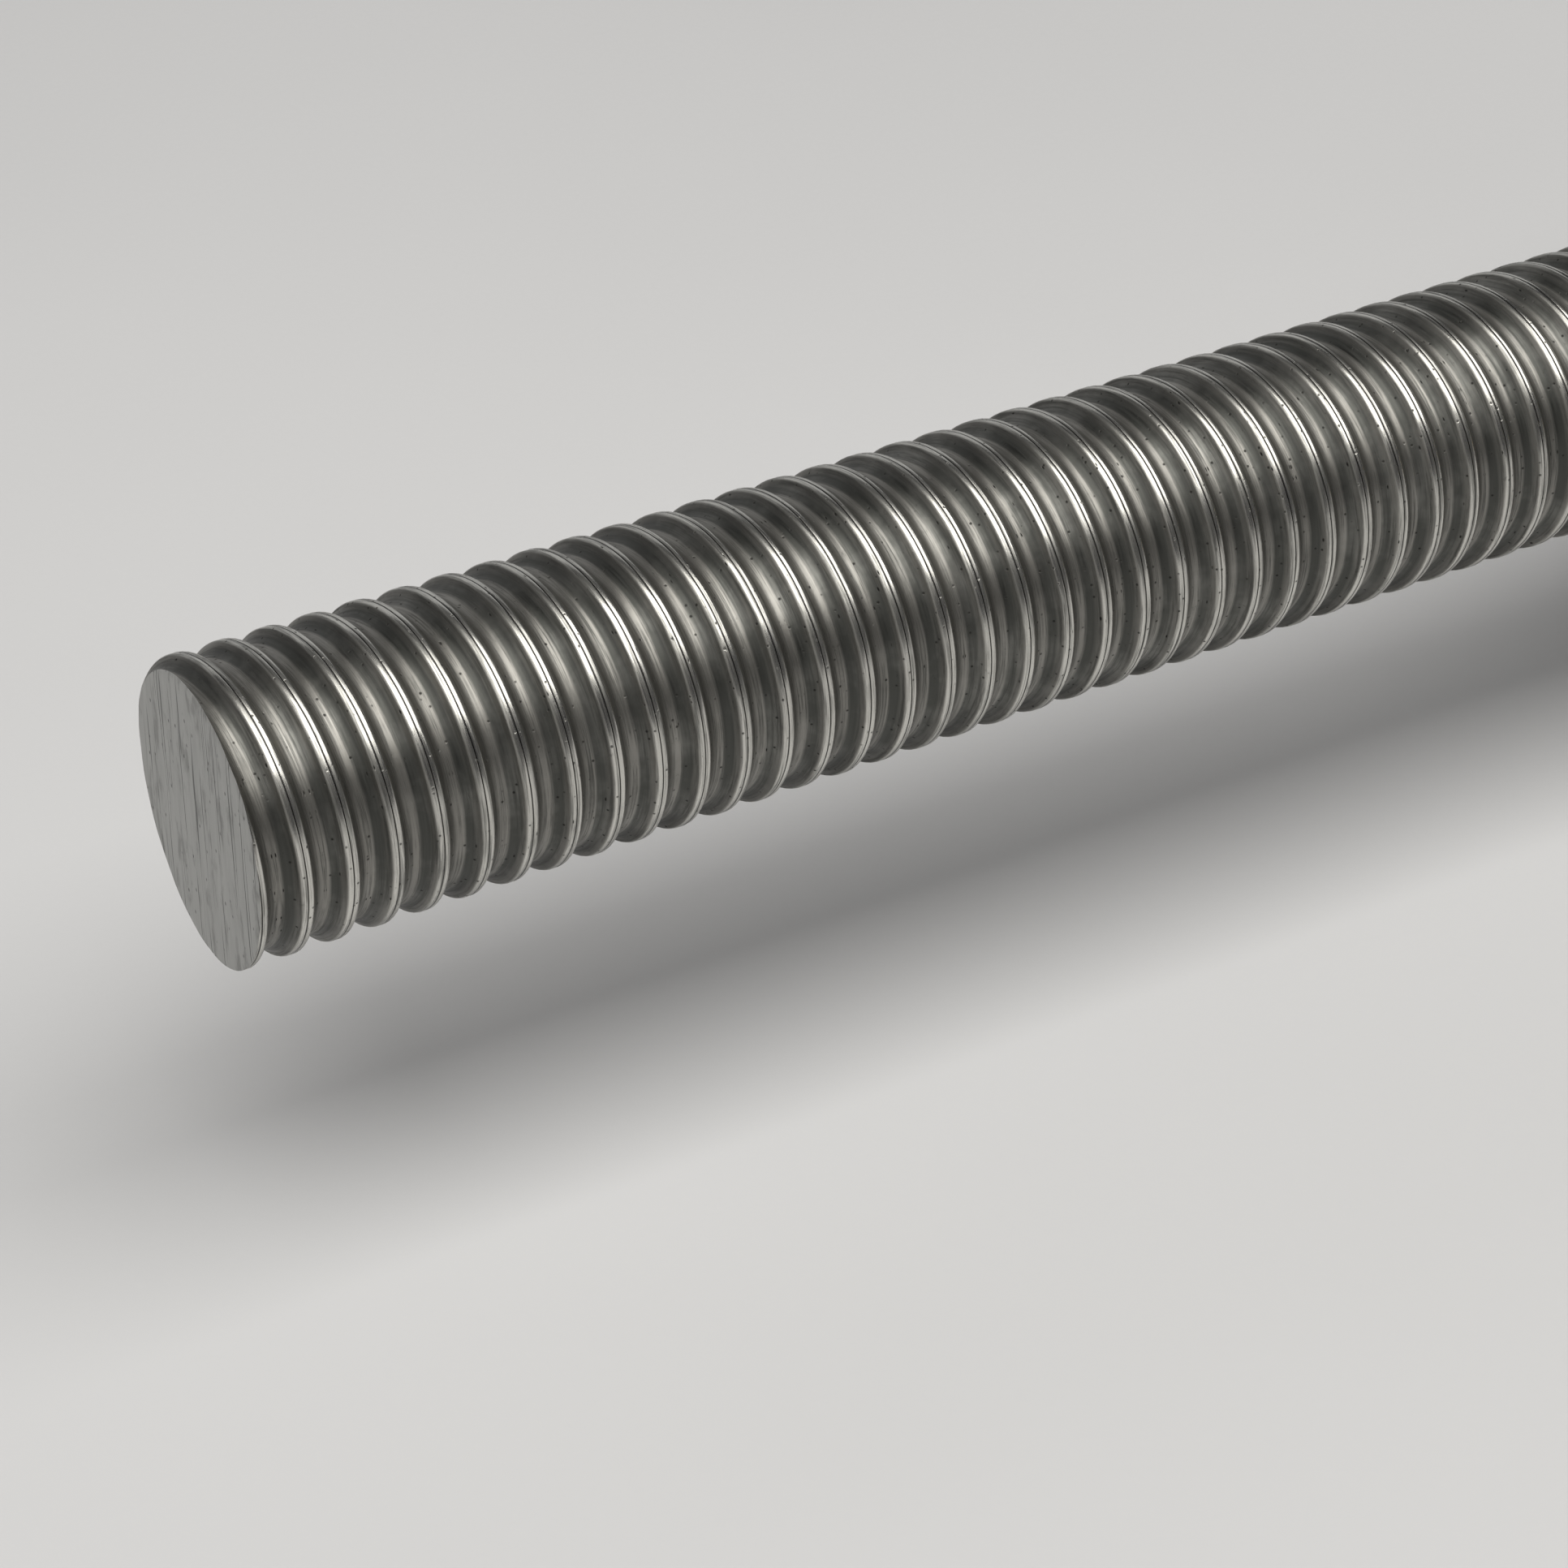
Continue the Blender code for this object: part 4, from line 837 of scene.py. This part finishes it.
class Look:
    """A procedural look, put together node by node. Patterns are in millimetres of the piece."""

    def __init__(self, name, metallic=0.0):
        self.material = bpy.data.materials.new(name)
        self.material.use_nodes = True
        self.tree = self.material.node_tree
        self.shader = self.tree.nodes["Principled BSDF"]
        self.shader.inputs["Metallic"].default_value = metallic
        coordinates = self.add("ShaderNodeTexCoord").outputs["Object"]
        self.place = self.vector("MULTIPLY", coordinates, (1 / MM, 1 / MM, 1 / MM))

    def add(self, kind, inputs=(), **settings):
        """Adds a node. Each input is (name or number, value or socket)."""
        node = self.tree.nodes.new(kind)
        for name, value in settings.items():
            setattr(node, name, value)
        for name, value in inputs:
            self.set(node.inputs[name], value)
        return node

    def set(self, socket, value):
        if isinstance(value, bpy.types.NodeSocket):
            self.tree.links.new(value, socket)
        else:
            socket.default_value = value

    def vector(self, operation, one, two):
        return self.add("ShaderNodeVectorMath", [(0, one), (1, two)], operation=operation).outputs[0]

    def math(self, operation, one, two=0.0):
        return self.add("ShaderNodeMath", [(0, one), (1, two)], operation=operation).outputs[0]

    def times(self, one, two):
        return self.math("MULTIPLY", one, two)

    def plus(self, one, two):
        return self.math("ADD", one, two)

    def split(self, vector):
        return self.add("ShaderNodeSeparateXYZ", [(0, vector)]).outputs

    def combined(self, x, y, z=0.0):
        return self.add("ShaderNodeCombineXYZ", [(0, x), (1, y), (2, z)]).outputs[0]

    def attribute(self, name):
        return self.add("ShaderNodeAttribute", attribute_name=name).outputs["Fac"]

    def stretched(self, x, y, z):
        """The piece's own place in millimetres, with each axis multiplied."""
        return self.vector("MULTIPLY", self.place, (x, y, z))

    def noise(self, vector, scale=1.0, detail=4.0, roughness=0.6):
        inputs = [("Vector", vector), ("Scale", scale), ("Detail", detail), ("Roughness", roughness)]
        return self.add("ShaderNodeTexNoise", inputs).outputs["Fac"]

    def spots(self, vector, scale, size):
        """1 in the middle of scattered small spots, falling to 0 at their edge."""
        inputs = [("Vector", vector), ("Scale", scale), ("Randomness", 1.0)]
        distance = self.add("ShaderNodeTexVoronoi", inputs).outputs["Distance"]
        return self.ramp(distance, size, size * 0.4)

    def ramp(self, value, low, high, out_low=0.0, out_high=1.0):
        """value from low to high, spread over out_low to out_high and held there."""
        inputs = [("Value", value), (1, low), (2, high), (3, out_low), (4, out_high)]
        return self.add("ShaderNodeMapRange", inputs, clamp=True).outputs[0]

    def mixed(self, share, one, two):
        """A colour between two."""
        return self.add("ShaderNodeMix", [(0, share), (6, one), (7, two)], data_type="RGBA").outputs[2]

    def turned_grain(self, fine, slow):
        """Noise in fine rings about the screw's axis that change slowly round it."""
        x, y, z = self.split(self.place)
        z = self.math("SUBTRACT", z, AXIS_Z)
        radius = self.math("SQRT", self.plus(self.times(y, y), self.times(z, z)))
        one = self.plus(self.times(x, fine), self.times(y, slow))
        two = self.plus(self.times(radius, fine), self.times(z, slow))
        return self.noise(self.combined(one, two))

    def edge(self, radius):
        """1 on edges that are sharper than that radius in millimetres, and 0 on open surface."""
        rounded_normal = self.add("ShaderNodeBevel", [("Radius", radius * MM)], samples=4).outputs["Normal"]
        normal = self.add("ShaderNodeNewGeometry").outputs["Normal"]
        both = [(0, rounded_normal), (1, normal)]
        alike = self.add("ShaderNodeVectorMath", both, operation="DOT_PRODUCT").outputs["Value"]
        return self.ramp(alike, 0.995, 0.90)

    def finished(self, colour, roughness, heights):
        """Joins the patterns to the shader. Each height is (value from 0 to 1, size in millimetres)."""
        self.set(self.shader.inputs["Base Color"], colour)
        self.set(self.shader.inputs["Roughness"], roughness)
        normal = None
        for height, size in heights:
            inputs = [("Strength", 1.0), ("Distance", size * MM), ("Height", height)]
            bump = self.add("ShaderNodeBump", inputs)
            if normal:
                self.set(bump.inputs["Normal"], normal)
            normal = bump.outputs["Normal"]
        self.set(self.shader.inputs["Normal"], normal)
        return self.material


# The thread's greys are painted light and shade on one steel: the crest grey is a painted highlight, the
# groove grey a painted shade in the groove, and the flank grey a painted shade on the flanks that face the
# sawn end. The flank grey is also the colour of the streaks.
CREST_GREY = (0.60, 0.590, 0.550, 1)
FLANK_GREY = (0.075, 0.076, 0.070, 1)
GROOVE_GREY = (0.235, 0.228, 0.210, 1)
# The darkest grey colours pits, nicks and smears, and is also the painted shade along each crest's fold.
PIT_AND_FOLD_SHADE_GREY = (0.030, 0.029, 0.027, 1)


def rolled_steel():
    """Cold-rolled thread with streaks, nicks and pits. Its greys are painted light and shade: the crests
    painted bright as a highlight, a dark line painted as shade along each crest's fold, the groove painted
    darker, and the flanks that face the sawn end painted near black as shade.
    """
    look = Look("rolled_steel_thread", 1.0)
    along = look.attribute("thread_along")
    from_crest = look.attribute("from_crest")
    across = look.attribute("across_groove")

    def along_thread(slow, fine):
        return look.combined(look.times(along, slow), look.times(from_crest, fine))

    streaks = look.noise(along_thread(0.10, 3.2), 1.0, 6.0, 0.7)
    broad = look.noise(along_thread(0.06, 2.2), 1.0, 3.0, 0.5)
    bloom = look.noise(look.place, 0.11)
    pits = look.spots(look.place, 0.8, 0.15)
    nicks = look.spots(along_thread(0.30, 1.2), 1.0, 0.10)
    smear = look.ramp(look.noise(along_thread(0.5, 1.0), 1.0, 4.0, 0.7), 0.64, 0.74)
    wander = look.ramp(broad, 0.2, 0.8, -0.12, 0.12)
    # Painted shade: the flanks that face the sawn end are painted near black, starting a little way out from
    # the crest, so that the band next to the crest stays lighter as a painted glow.
    facing_end = look.ramp(look.plus(across, wander), 0.35, 0.65)
    flank_shade_and_edge_wear = look.ramp(look.plus(from_crest, wander), 0.55, 1.2)
    flank = look.times(flank_shade_and_edge_wear, facing_end)
    # Painted shade: a dark line is painted along the fold in the middle of each crest, where the crease would
    # lie in shade.
    fold = look.ramp(from_crest, 0.10, 0.04)
    crest = look.ramp(from_crest, 0.7, 0.5)
    # Painted highlight and shade: the crests are painted bright and the groove darker, then the flanks that
    # face the sawn end are painted darker still.
    grey = look.mixed(crest, GROOVE_GREY, CREST_GREY)
    grey = look.mixed(flank, grey, FLANK_GREY)
    grey = look.mixed(look.ramp(bloom, 0.45, 0.75, 0.0, 0.22), grey, CREST_GREY)
    grey = look.mixed(look.ramp(streaks, 0.47, 0.62, 0.0, 0.75), grey, FLANK_GREY)
    grey = look.mixed(look.times(smear, 0.45), grey, PIT_AND_FOLD_SHADE_GREY)
    marks = look.math("MAXIMUM", look.times(pits, 0.8), nicks)
    # Pits and nicks in the darkest grey, together with the painted shade along each crest's fold.
    grey = look.mixed(look.math("MAXIMUM", marks, fold), grey, PIT_AND_FOLD_SHADE_GREY)
    roughness = look.ramp(streaks, 0.36, 0.64, 0.19, 0.38)
    roughness = look.plus(roughness, look.times(marks, 0.3))
    roughness = look.plus(roughness, look.ramp(crest, 0.0, 1.0, 0.15, 0.0))
    dents = look.math("SUBTRACT", 1.0, marks)
    waves = look.noise(along_thread(0.6, 0.7), 1.0, 2.0, 0.5)
    return look.finished(grey, roughness, [(streaks, 0.010), (dents, 0.03), (waves, 0.012)])


def sawn_steel():
    """A sawn end: matte, with upright saw marks, oxide blotches and a few deeper scores."""
    look = Look("rolled_steel_sawn", 1.0)
    marks = look.noise(look.stretched(1.0, 5.0, 0.22), 1.0, 5.0, 0.6)
    broad = look.noise(look.stretched(1.0, 0.9, 0.13), 1.0, 3.0, 0.5)
    blotches = look.noise(look.stretched(1.0, 0.5, 0.16))
    blotches = look.ramp(blotches, 0.53, 0.64)
    scores = look.noise(look.stretched(1.0, 3.1, 0.045), 1.0, 2.0, 0.4)
    scores = look.ramp(scores, 0.62, 0.68)
    specks = look.spots(look.stretched(1.0, 1.0, 0.6), 0.8, 0.14)
    grey = look.mixed(broad, (0.30, 0.30, 0.29, 1), (0.44, 0.44, 0.425, 1))
    grey = look.mixed(look.ramp(marks, 0.3, 0.7, 0.0, 0.45), grey, (0.50, 0.50, 0.485, 1))
    grey = look.mixed(look.times(blotches, 0.6), grey, (0.19, 0.19, 0.18, 1))
    dark = look.math("MAXIMUM", look.times(scores, 0.8), specks)
    grey = look.mixed(dark, grey, (0.07, 0.07, 0.068, 1))
    roughness = look.ramp(marks, 0.2, 0.8, 0.40, 0.56)
    return look.finished(grey, roughness, [(marks, 0.012), (look.math("SUBTRACT", 1.0, dark), 0.03)])


def turned_steel(name="rolled_steel_turned", shade=0.5, fine=7.0, polish=0.17):
    """Turned or ground steel with fine rings about the screw, a faint tarnish and a few scratches."""
    look = Look(name, 1.0)
    rings = look.turned_grain(fine, 0.02)
    tarnish = look.noise(look.place, 0.12)
    scratch = look.ramp(look.noise(look.stretched(0.25, 2.2, 1.6), 1.0, 2.0, 0.4), 0.69, 0.74)
    low = (0.72 * shade, 0.72 * shade, 0.71 * shade, 1)
    high = (shade, 0.995 * shade, 0.975 * shade, 1)
    grey = look.mixed(look.ramp(rings, 0.25, 0.75), low, high)
    dull = (0.55 * shade, 0.54 * shade, 0.51 * shade, 1)
    grey = look.mixed(look.ramp(tarnish, 0.45, 0.75, 0.0, 0.4), grey, dull)
    roughness = look.ramp(rings, 0.2, 0.8, polish, polish + 0.14)
    roughness = look.plus(roughness, look.ramp(tarnish, 0.45, 0.75, 0.0, 0.08))
    return look.finished(grey, roughness, [(rings, 0.004), (scratch, -0.006)])


def bearing_steel():
    """Superfinished bearing steel: bright, with hairline scratches and finger bloom."""
    look = Look("bearing_steel_superfinished", 1.0)
    rings = look.turned_grain(11.0, 0.03)
    bloom = look.noise(look.place, 0.35)
    grey = look.mixed(look.ramp(bloom, 0.35, 0.7), (0.62, 0.62, 0.615, 1), (0.76, 0.76, 0.75, 1))
    roughness = look.ramp(bloom, 0.3, 0.75, 0.07, 0.16)
    return look.finished(grey, roughness, [(rings, 0.0015)])


def black_oxide():
    """Black oxide over milled steel: cutter marks, brown patches, and bare metal at rubbed edges."""
    look = Look("black_oxide_over_steel", 0.85)
    mill = look.noise(look.stretched(0.4, 0.5, 5.0))
    cloud = look.noise(look.place, 0.07, 5.0, 0.6)
    speckle = look.noise(look.place, 3.0, 3.0, 0.7)
    edges = look.edge(0.5)
    patches = look.noise(look.place, 0.5, 4.0, 0.65)
    flank_shade_and_edge_wear = look.times(edges, look.ramp(patches, 0.42, 0.62))
    black = look.mixed(look.ramp(cloud, 0.35, 0.7), (0.034, 0.034, 0.037, 1), (0.062, 0.059, 0.057, 1))
    black = look.mixed(look.ramp(speckle, 0.55, 0.8, 0.0, 0.35), black, (0.10, 0.098, 0.095, 1))
    colour = look.mixed(flank_shade_and_edge_wear, black, (0.42, 0.42, 0.41, 1))
    roughness = look.ramp(mill, 0.2, 0.8, 0.33, 0.50)
    return look.finished(colour, roughness, [(mill, 0.006), (speckle, 0.004)])


def seal_rubber():
    """Moulded nitrile rubber: fine mould texture, a waxy bloom and a little dust."""
    look = Look("seal_rubber_moulded")
    grain = look.noise(look.place, 6.0, 3.0, 0.6)
    bloom = look.noise(look.place, 0.25)
    rings = look.turned_grain(2.5, 0.02)
    black = look.mixed(look.ramp(bloom, 0.4, 0.75), (0.014, 0.014, 0.015, 1), (0.034, 0.033, 0.032, 1))
    roughness = look.ramp(bloom, 0.3, 0.75, 0.48, 0.68)
    return look.finished(black, roughness, [(grain, 0.008), (rings, 0.006)])


def nut_plastic():
    """Natural polyamide: warm white, with moulding flow, faint specks and a soft gloss."""
    look = Look("nut_plastic_natural")
    look.shader.inputs["Subsurface Weight"].default_value = 0.15
    look.shader.inputs["Subsurface Radius"].default_value = (0.0012, 0.0009, 0.0006)
    flow = look.noise(look.stretched(0.25, 0.6, 0.4))
    grain = look.noise(look.place, 5.0, 3.0, 0.6)
    specks = look.spots(look.place, 0.5, 0.06)
    white = look.mixed(flow, (0.66, 0.63, 0.55, 1), (0.78, 0.755, 0.68, 1))
    white = look.mixed(specks, white, (0.35, 0.30, 0.22, 1))
    roughness = look.ramp(flow, 0.3, 0.7, 0.36, 0.50)
    return look.finished(white, roughness, [(grain, 0.006)])


def brass():
    """Turned brass with light tarnish."""
    look = Look("brass_turned", 1.0)
    rings = look.noise(look.stretched(0.3, 8.0, 0.3))
    tarnish = look.noise(look.place, 0.5)
    yellow = look.mixed(look.ramp(tarnish, 0.4, 0.7), (0.78, 0.58, 0.27, 1), (0.52, 0.37, 0.17, 1))
    roughness = look.ramp(tarnish, 0.3, 0.75, 0.18, 0.34)
    return look.finished(yellow, roughness, [(rings, 0.004)])


def floor_finish():
    look = Look("studio_floor")
    cloud = look.noise(look.place, 0.004, 3.0, 0.5)
    grain = look.noise(look.place, 0.9, 2.0, 0.5)
    pale = look.mixed(cloud, (0.53, 0.53, 0.535, 1), (0.60, 0.60, 0.605, 1))
    return look.finished(pale, look.ramp(grain, 0.3, 0.7, 0.55, 0.65), [(grain, 0.01)])


ROLLED_STEEL = rolled_steel()
SAWN_STEEL = sawn_steel()
TURNED_STEEL = turned_steel()
GROUND_STEEL = turned_steel("ground_steel_grain", 0.60, 9.0, 0.15)
BEARING_STEEL = bearing_steel()
BLACK_OXIDE = black_oxide()
SEAL_RUBBER = seal_rubber()
NUT_PLASTIC = nut_plastic()
BRASS = brass()


# ---- the pieces, each in place of its CAD node

BODY_OF = {node: body for body, nodes in frame["record"]["behaviour"]["bodies"].items() for node in nodes}


def stands_for(obj, node, material=None):
    """Gives a piece its look, and puts it on its node's body in that node's place."""
    if material:
        obj.data.materials.clear()
        obj.data.materials.append(material)
    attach(obj, BODY_OF[node])
    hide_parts(node)


def make_screw():
    stands_for(screw_shaft(), "screw_shaft")
    stands_for(drive_key(), "drive_key", GROUND_STEEL)
    for node in ("collar_inner", "collar_outer"):
        stands_for(collar(f"{node}_ground", node), node, GROUND_STEEL)
    stands_for(lock_nut(), "lock_nut", BLACK_OXIDE)
    middle = sum(span("lock_nut")) / 2
    for n, angle in enumerate(LOCK_SCREW_ANGLES, 1):
        screw = set_screw(f"lock_nut_screw_{n}_blackened", 2.75, 15.0, 20.6, angle, middle)
        stands_for(screw, f"lock_nut_screw_{n}", BLACK_OXIDE)
        stands_for(lock_nut_pad(f"lock_nut_pad_{n}_turned", angle, middle), f"lock_nut_pad_{n}", BRASS)


def make_bearings():
    for letter, side in (("a", -1), ("b", 1)):
        prefix = f"bearing_{letter}"
        outer = bearing_ring(f"{prefix}_outer_ring_ground", f"{prefix}_outer_ring", side, inner=False)
        inner = bearing_ring(f"{prefix}_inner_ring_ground", f"{prefix}_inner_ring", -side, inner=True)
        stands_for(outer, f"{prefix}_outer_ring", BEARING_STEEL)
        stands_for(inner, f"{prefix}_inner_ring", BEARING_STEEL)
        stands_for(bearing_cage(f"{prefix}_cage_moulded", f"{prefix}_cage"), f"{prefix}_cage", NUT_PLASTIC)
        balls = bearing_balls(f"{prefix}_balls", f"{prefix}_cage")
        balls.data.materials.append(BEARING_STEEL)
        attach(balls, f"cage_{letter}")


def make_support():
    stands_for(support_housing(), "support_housing", BLACK_OXIDE)
    stands_for(bearing_cover(), "bearing_cover", BLACK_OXIDE)
    for node, outwards in (("seal_inner", -1), ("seal_outer", 1)):
        stands_for(shaft_seal(f"{node}_moulded", node, outwards), node, SEAL_RUBBER)
    for n in range(len(COVER_SCREW_PLACES)):
        node = f"cover_screw_{n + 1}"
        low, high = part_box(node)
        y, z = (low[1] + high[1]) / 2 / MM, (low[2] + high[2]) / 2 / MM - AXIS_Z
        stands_for(cap_screw(f"{node}_blackened", y, z), node, BLACK_OXIDE)


def make_nut():
    stands_for(nut_body(), "nut_body", GROUND_STEEL)
    for n in range(CIRCUITS):
        node = f"ball_deflector_{n + 1}"
        stands_for(ball_deflector(f"{node}_moulded", n), node, NUT_PLASTIC)
        node = f"ball_circuit_{n + 1}"
        stands_for(ball_circuit(f"{node}_balls", n), node, BEARING_STEEL)
    for side, outwards, rim in (("front", -1, NUT_RADIUS), ("rear", 1, FLANGE_FLAT)):
        node = f"wiper_{side}"
        stands_for(wiper(f"{node}_moulded", node, outwards), node, NUT_PLASTIC)
        node = f"wiper_screw_{side}"
        x = sum(span(node)) / 2
        screw = set_screw(f"{node}_blackened", 1.25, 18.8, rim - 0.8, WIPER_SCREW_ANGLE, x, 0.75)
        stands_for(screw, node, BLACK_OXIDE)
    stands_for(grease_nipple(), "grease_nipple", BRASS)


make_screw()
make_bearings()
make_support()
make_nut()


# ---- studio

CAMERA_AT = (-459.8, -351.8, 283.8)
CAMERA_AZIMUTH = -32.1
CAMERA_ELEVATION = 31.5
LENS = 103.81
SENSOR_WIDTH = 36
LIT_X = -190
FLOOR_HALF = 6.0
ROOM_COLOUR = (0.05, 0.05, 0.052, 1)
BACKDROP_COLOUR = (0.6, 0.6, 0.6, 1)


def look_along(azimuth, elevation):
    """A direction by its angle from +Y towards -X and its angle below the horizon, in degrees."""
    turn, drop = math.radians(azimuth), math.radians(elevation)
    return Vector((-math.sin(turn) * math.cos(drop), math.cos(turn) * math.cos(drop), -math.sin(drop)))


def make_camera():
    data = bpy.data.cameras.new("camera")
    data.lens = LENS
    data.sensor_width = SENSOR_WIDTH
    data.clip_start = 0.01
    camera = bpy.data.objects.new("camera", data)
    camera.location = Vector(CAMERA_AT) * MM
    camera.rotation_euler = look_along(CAMERA_AZIMUTH, CAMERA_ELEVATION).to_track_quat("-Z", "Y").to_euler()
    bpy.context.scene.collection.objects.link(camera)
    bpy.context.scene.camera = camera


def soft_box(name, towards, distance, size, radiance, colour=(1, 1, 1)):
    """An area light that stands in a direction from the middle of the screw's thread and faces it."""
    target = Vector((LIT_X, 0, AXIS_Z)) * MM
    data = bpy.data.lights.new(name, "AREA")
    data.shape = "RECTANGLE"
    data.size, data.size_y = size
    data.energy = radiance * math.pi * size[0] * size[1]
    data.color = colour
    lamp = bpy.data.objects.new(name, data)
    lamp.visible_camera = False
    lamp.location = target + Vector(towards).normalized() * distance
    lamp.rotation_euler = (target - lamp.location).to_track_quat("-Z", "Y").to_euler()
    bpy.context.scene.collection.objects.link(lamp)


def make_world():
    """A dim room round the floor, which the camera itself sees as a pale backdrop."""
    world = bpy.data.worlds.new("studio")
    world.use_nodes = True
    tree = world.node_tree
    dim = tree.nodes["Background"]
    dim.inputs["Color"].default_value = ROOM_COLOUR
    pale = tree.nodes.new("ShaderNodeBackground")
    pale.inputs["Color"].default_value = BACKDROP_COLOUR
    seen = tree.nodes.new("ShaderNodeLightPath").outputs["Is Camera Ray"]
    either = tree.nodes.new("ShaderNodeMixShader")
    for n, socket in enumerate((seen, dim.outputs[0], pale.outputs[0])):
        tree.links.new(socket, either.inputs[n])
    tree.links.new(either.outputs[0], tree.nodes["World Output"].inputs["Surface"])
    bpy.context.scene.world = world


def make_studio():
    bm = bmesh.new()
    bmesh.ops.create_grid(bm, x_segments=60, y_segments=60, size=FLOOR_HALF)
    floor = object_from(bm, "floor", fix_normals=False)
    floor.data.materials.append(floor_finish())
    make_world()
    bpy.context.scene.view_settings.view_transform = "Standard"
    soft_box("key", (0.0, -0.36, 0.93), 1.3, (2.4, 1.2), 3.4, (1.0, 0.985, 0.95))
    soft_box("back", (0.1, 1.0, 0.45), 1.6, (2.6, 1.2), 0.5)
    soft_box("side", (-0.9, -0.15, 0.42), 1.5, (1.4, 0.7), 1.4, (1.0, 0.985, 0.96))


make_camera()
make_studio()
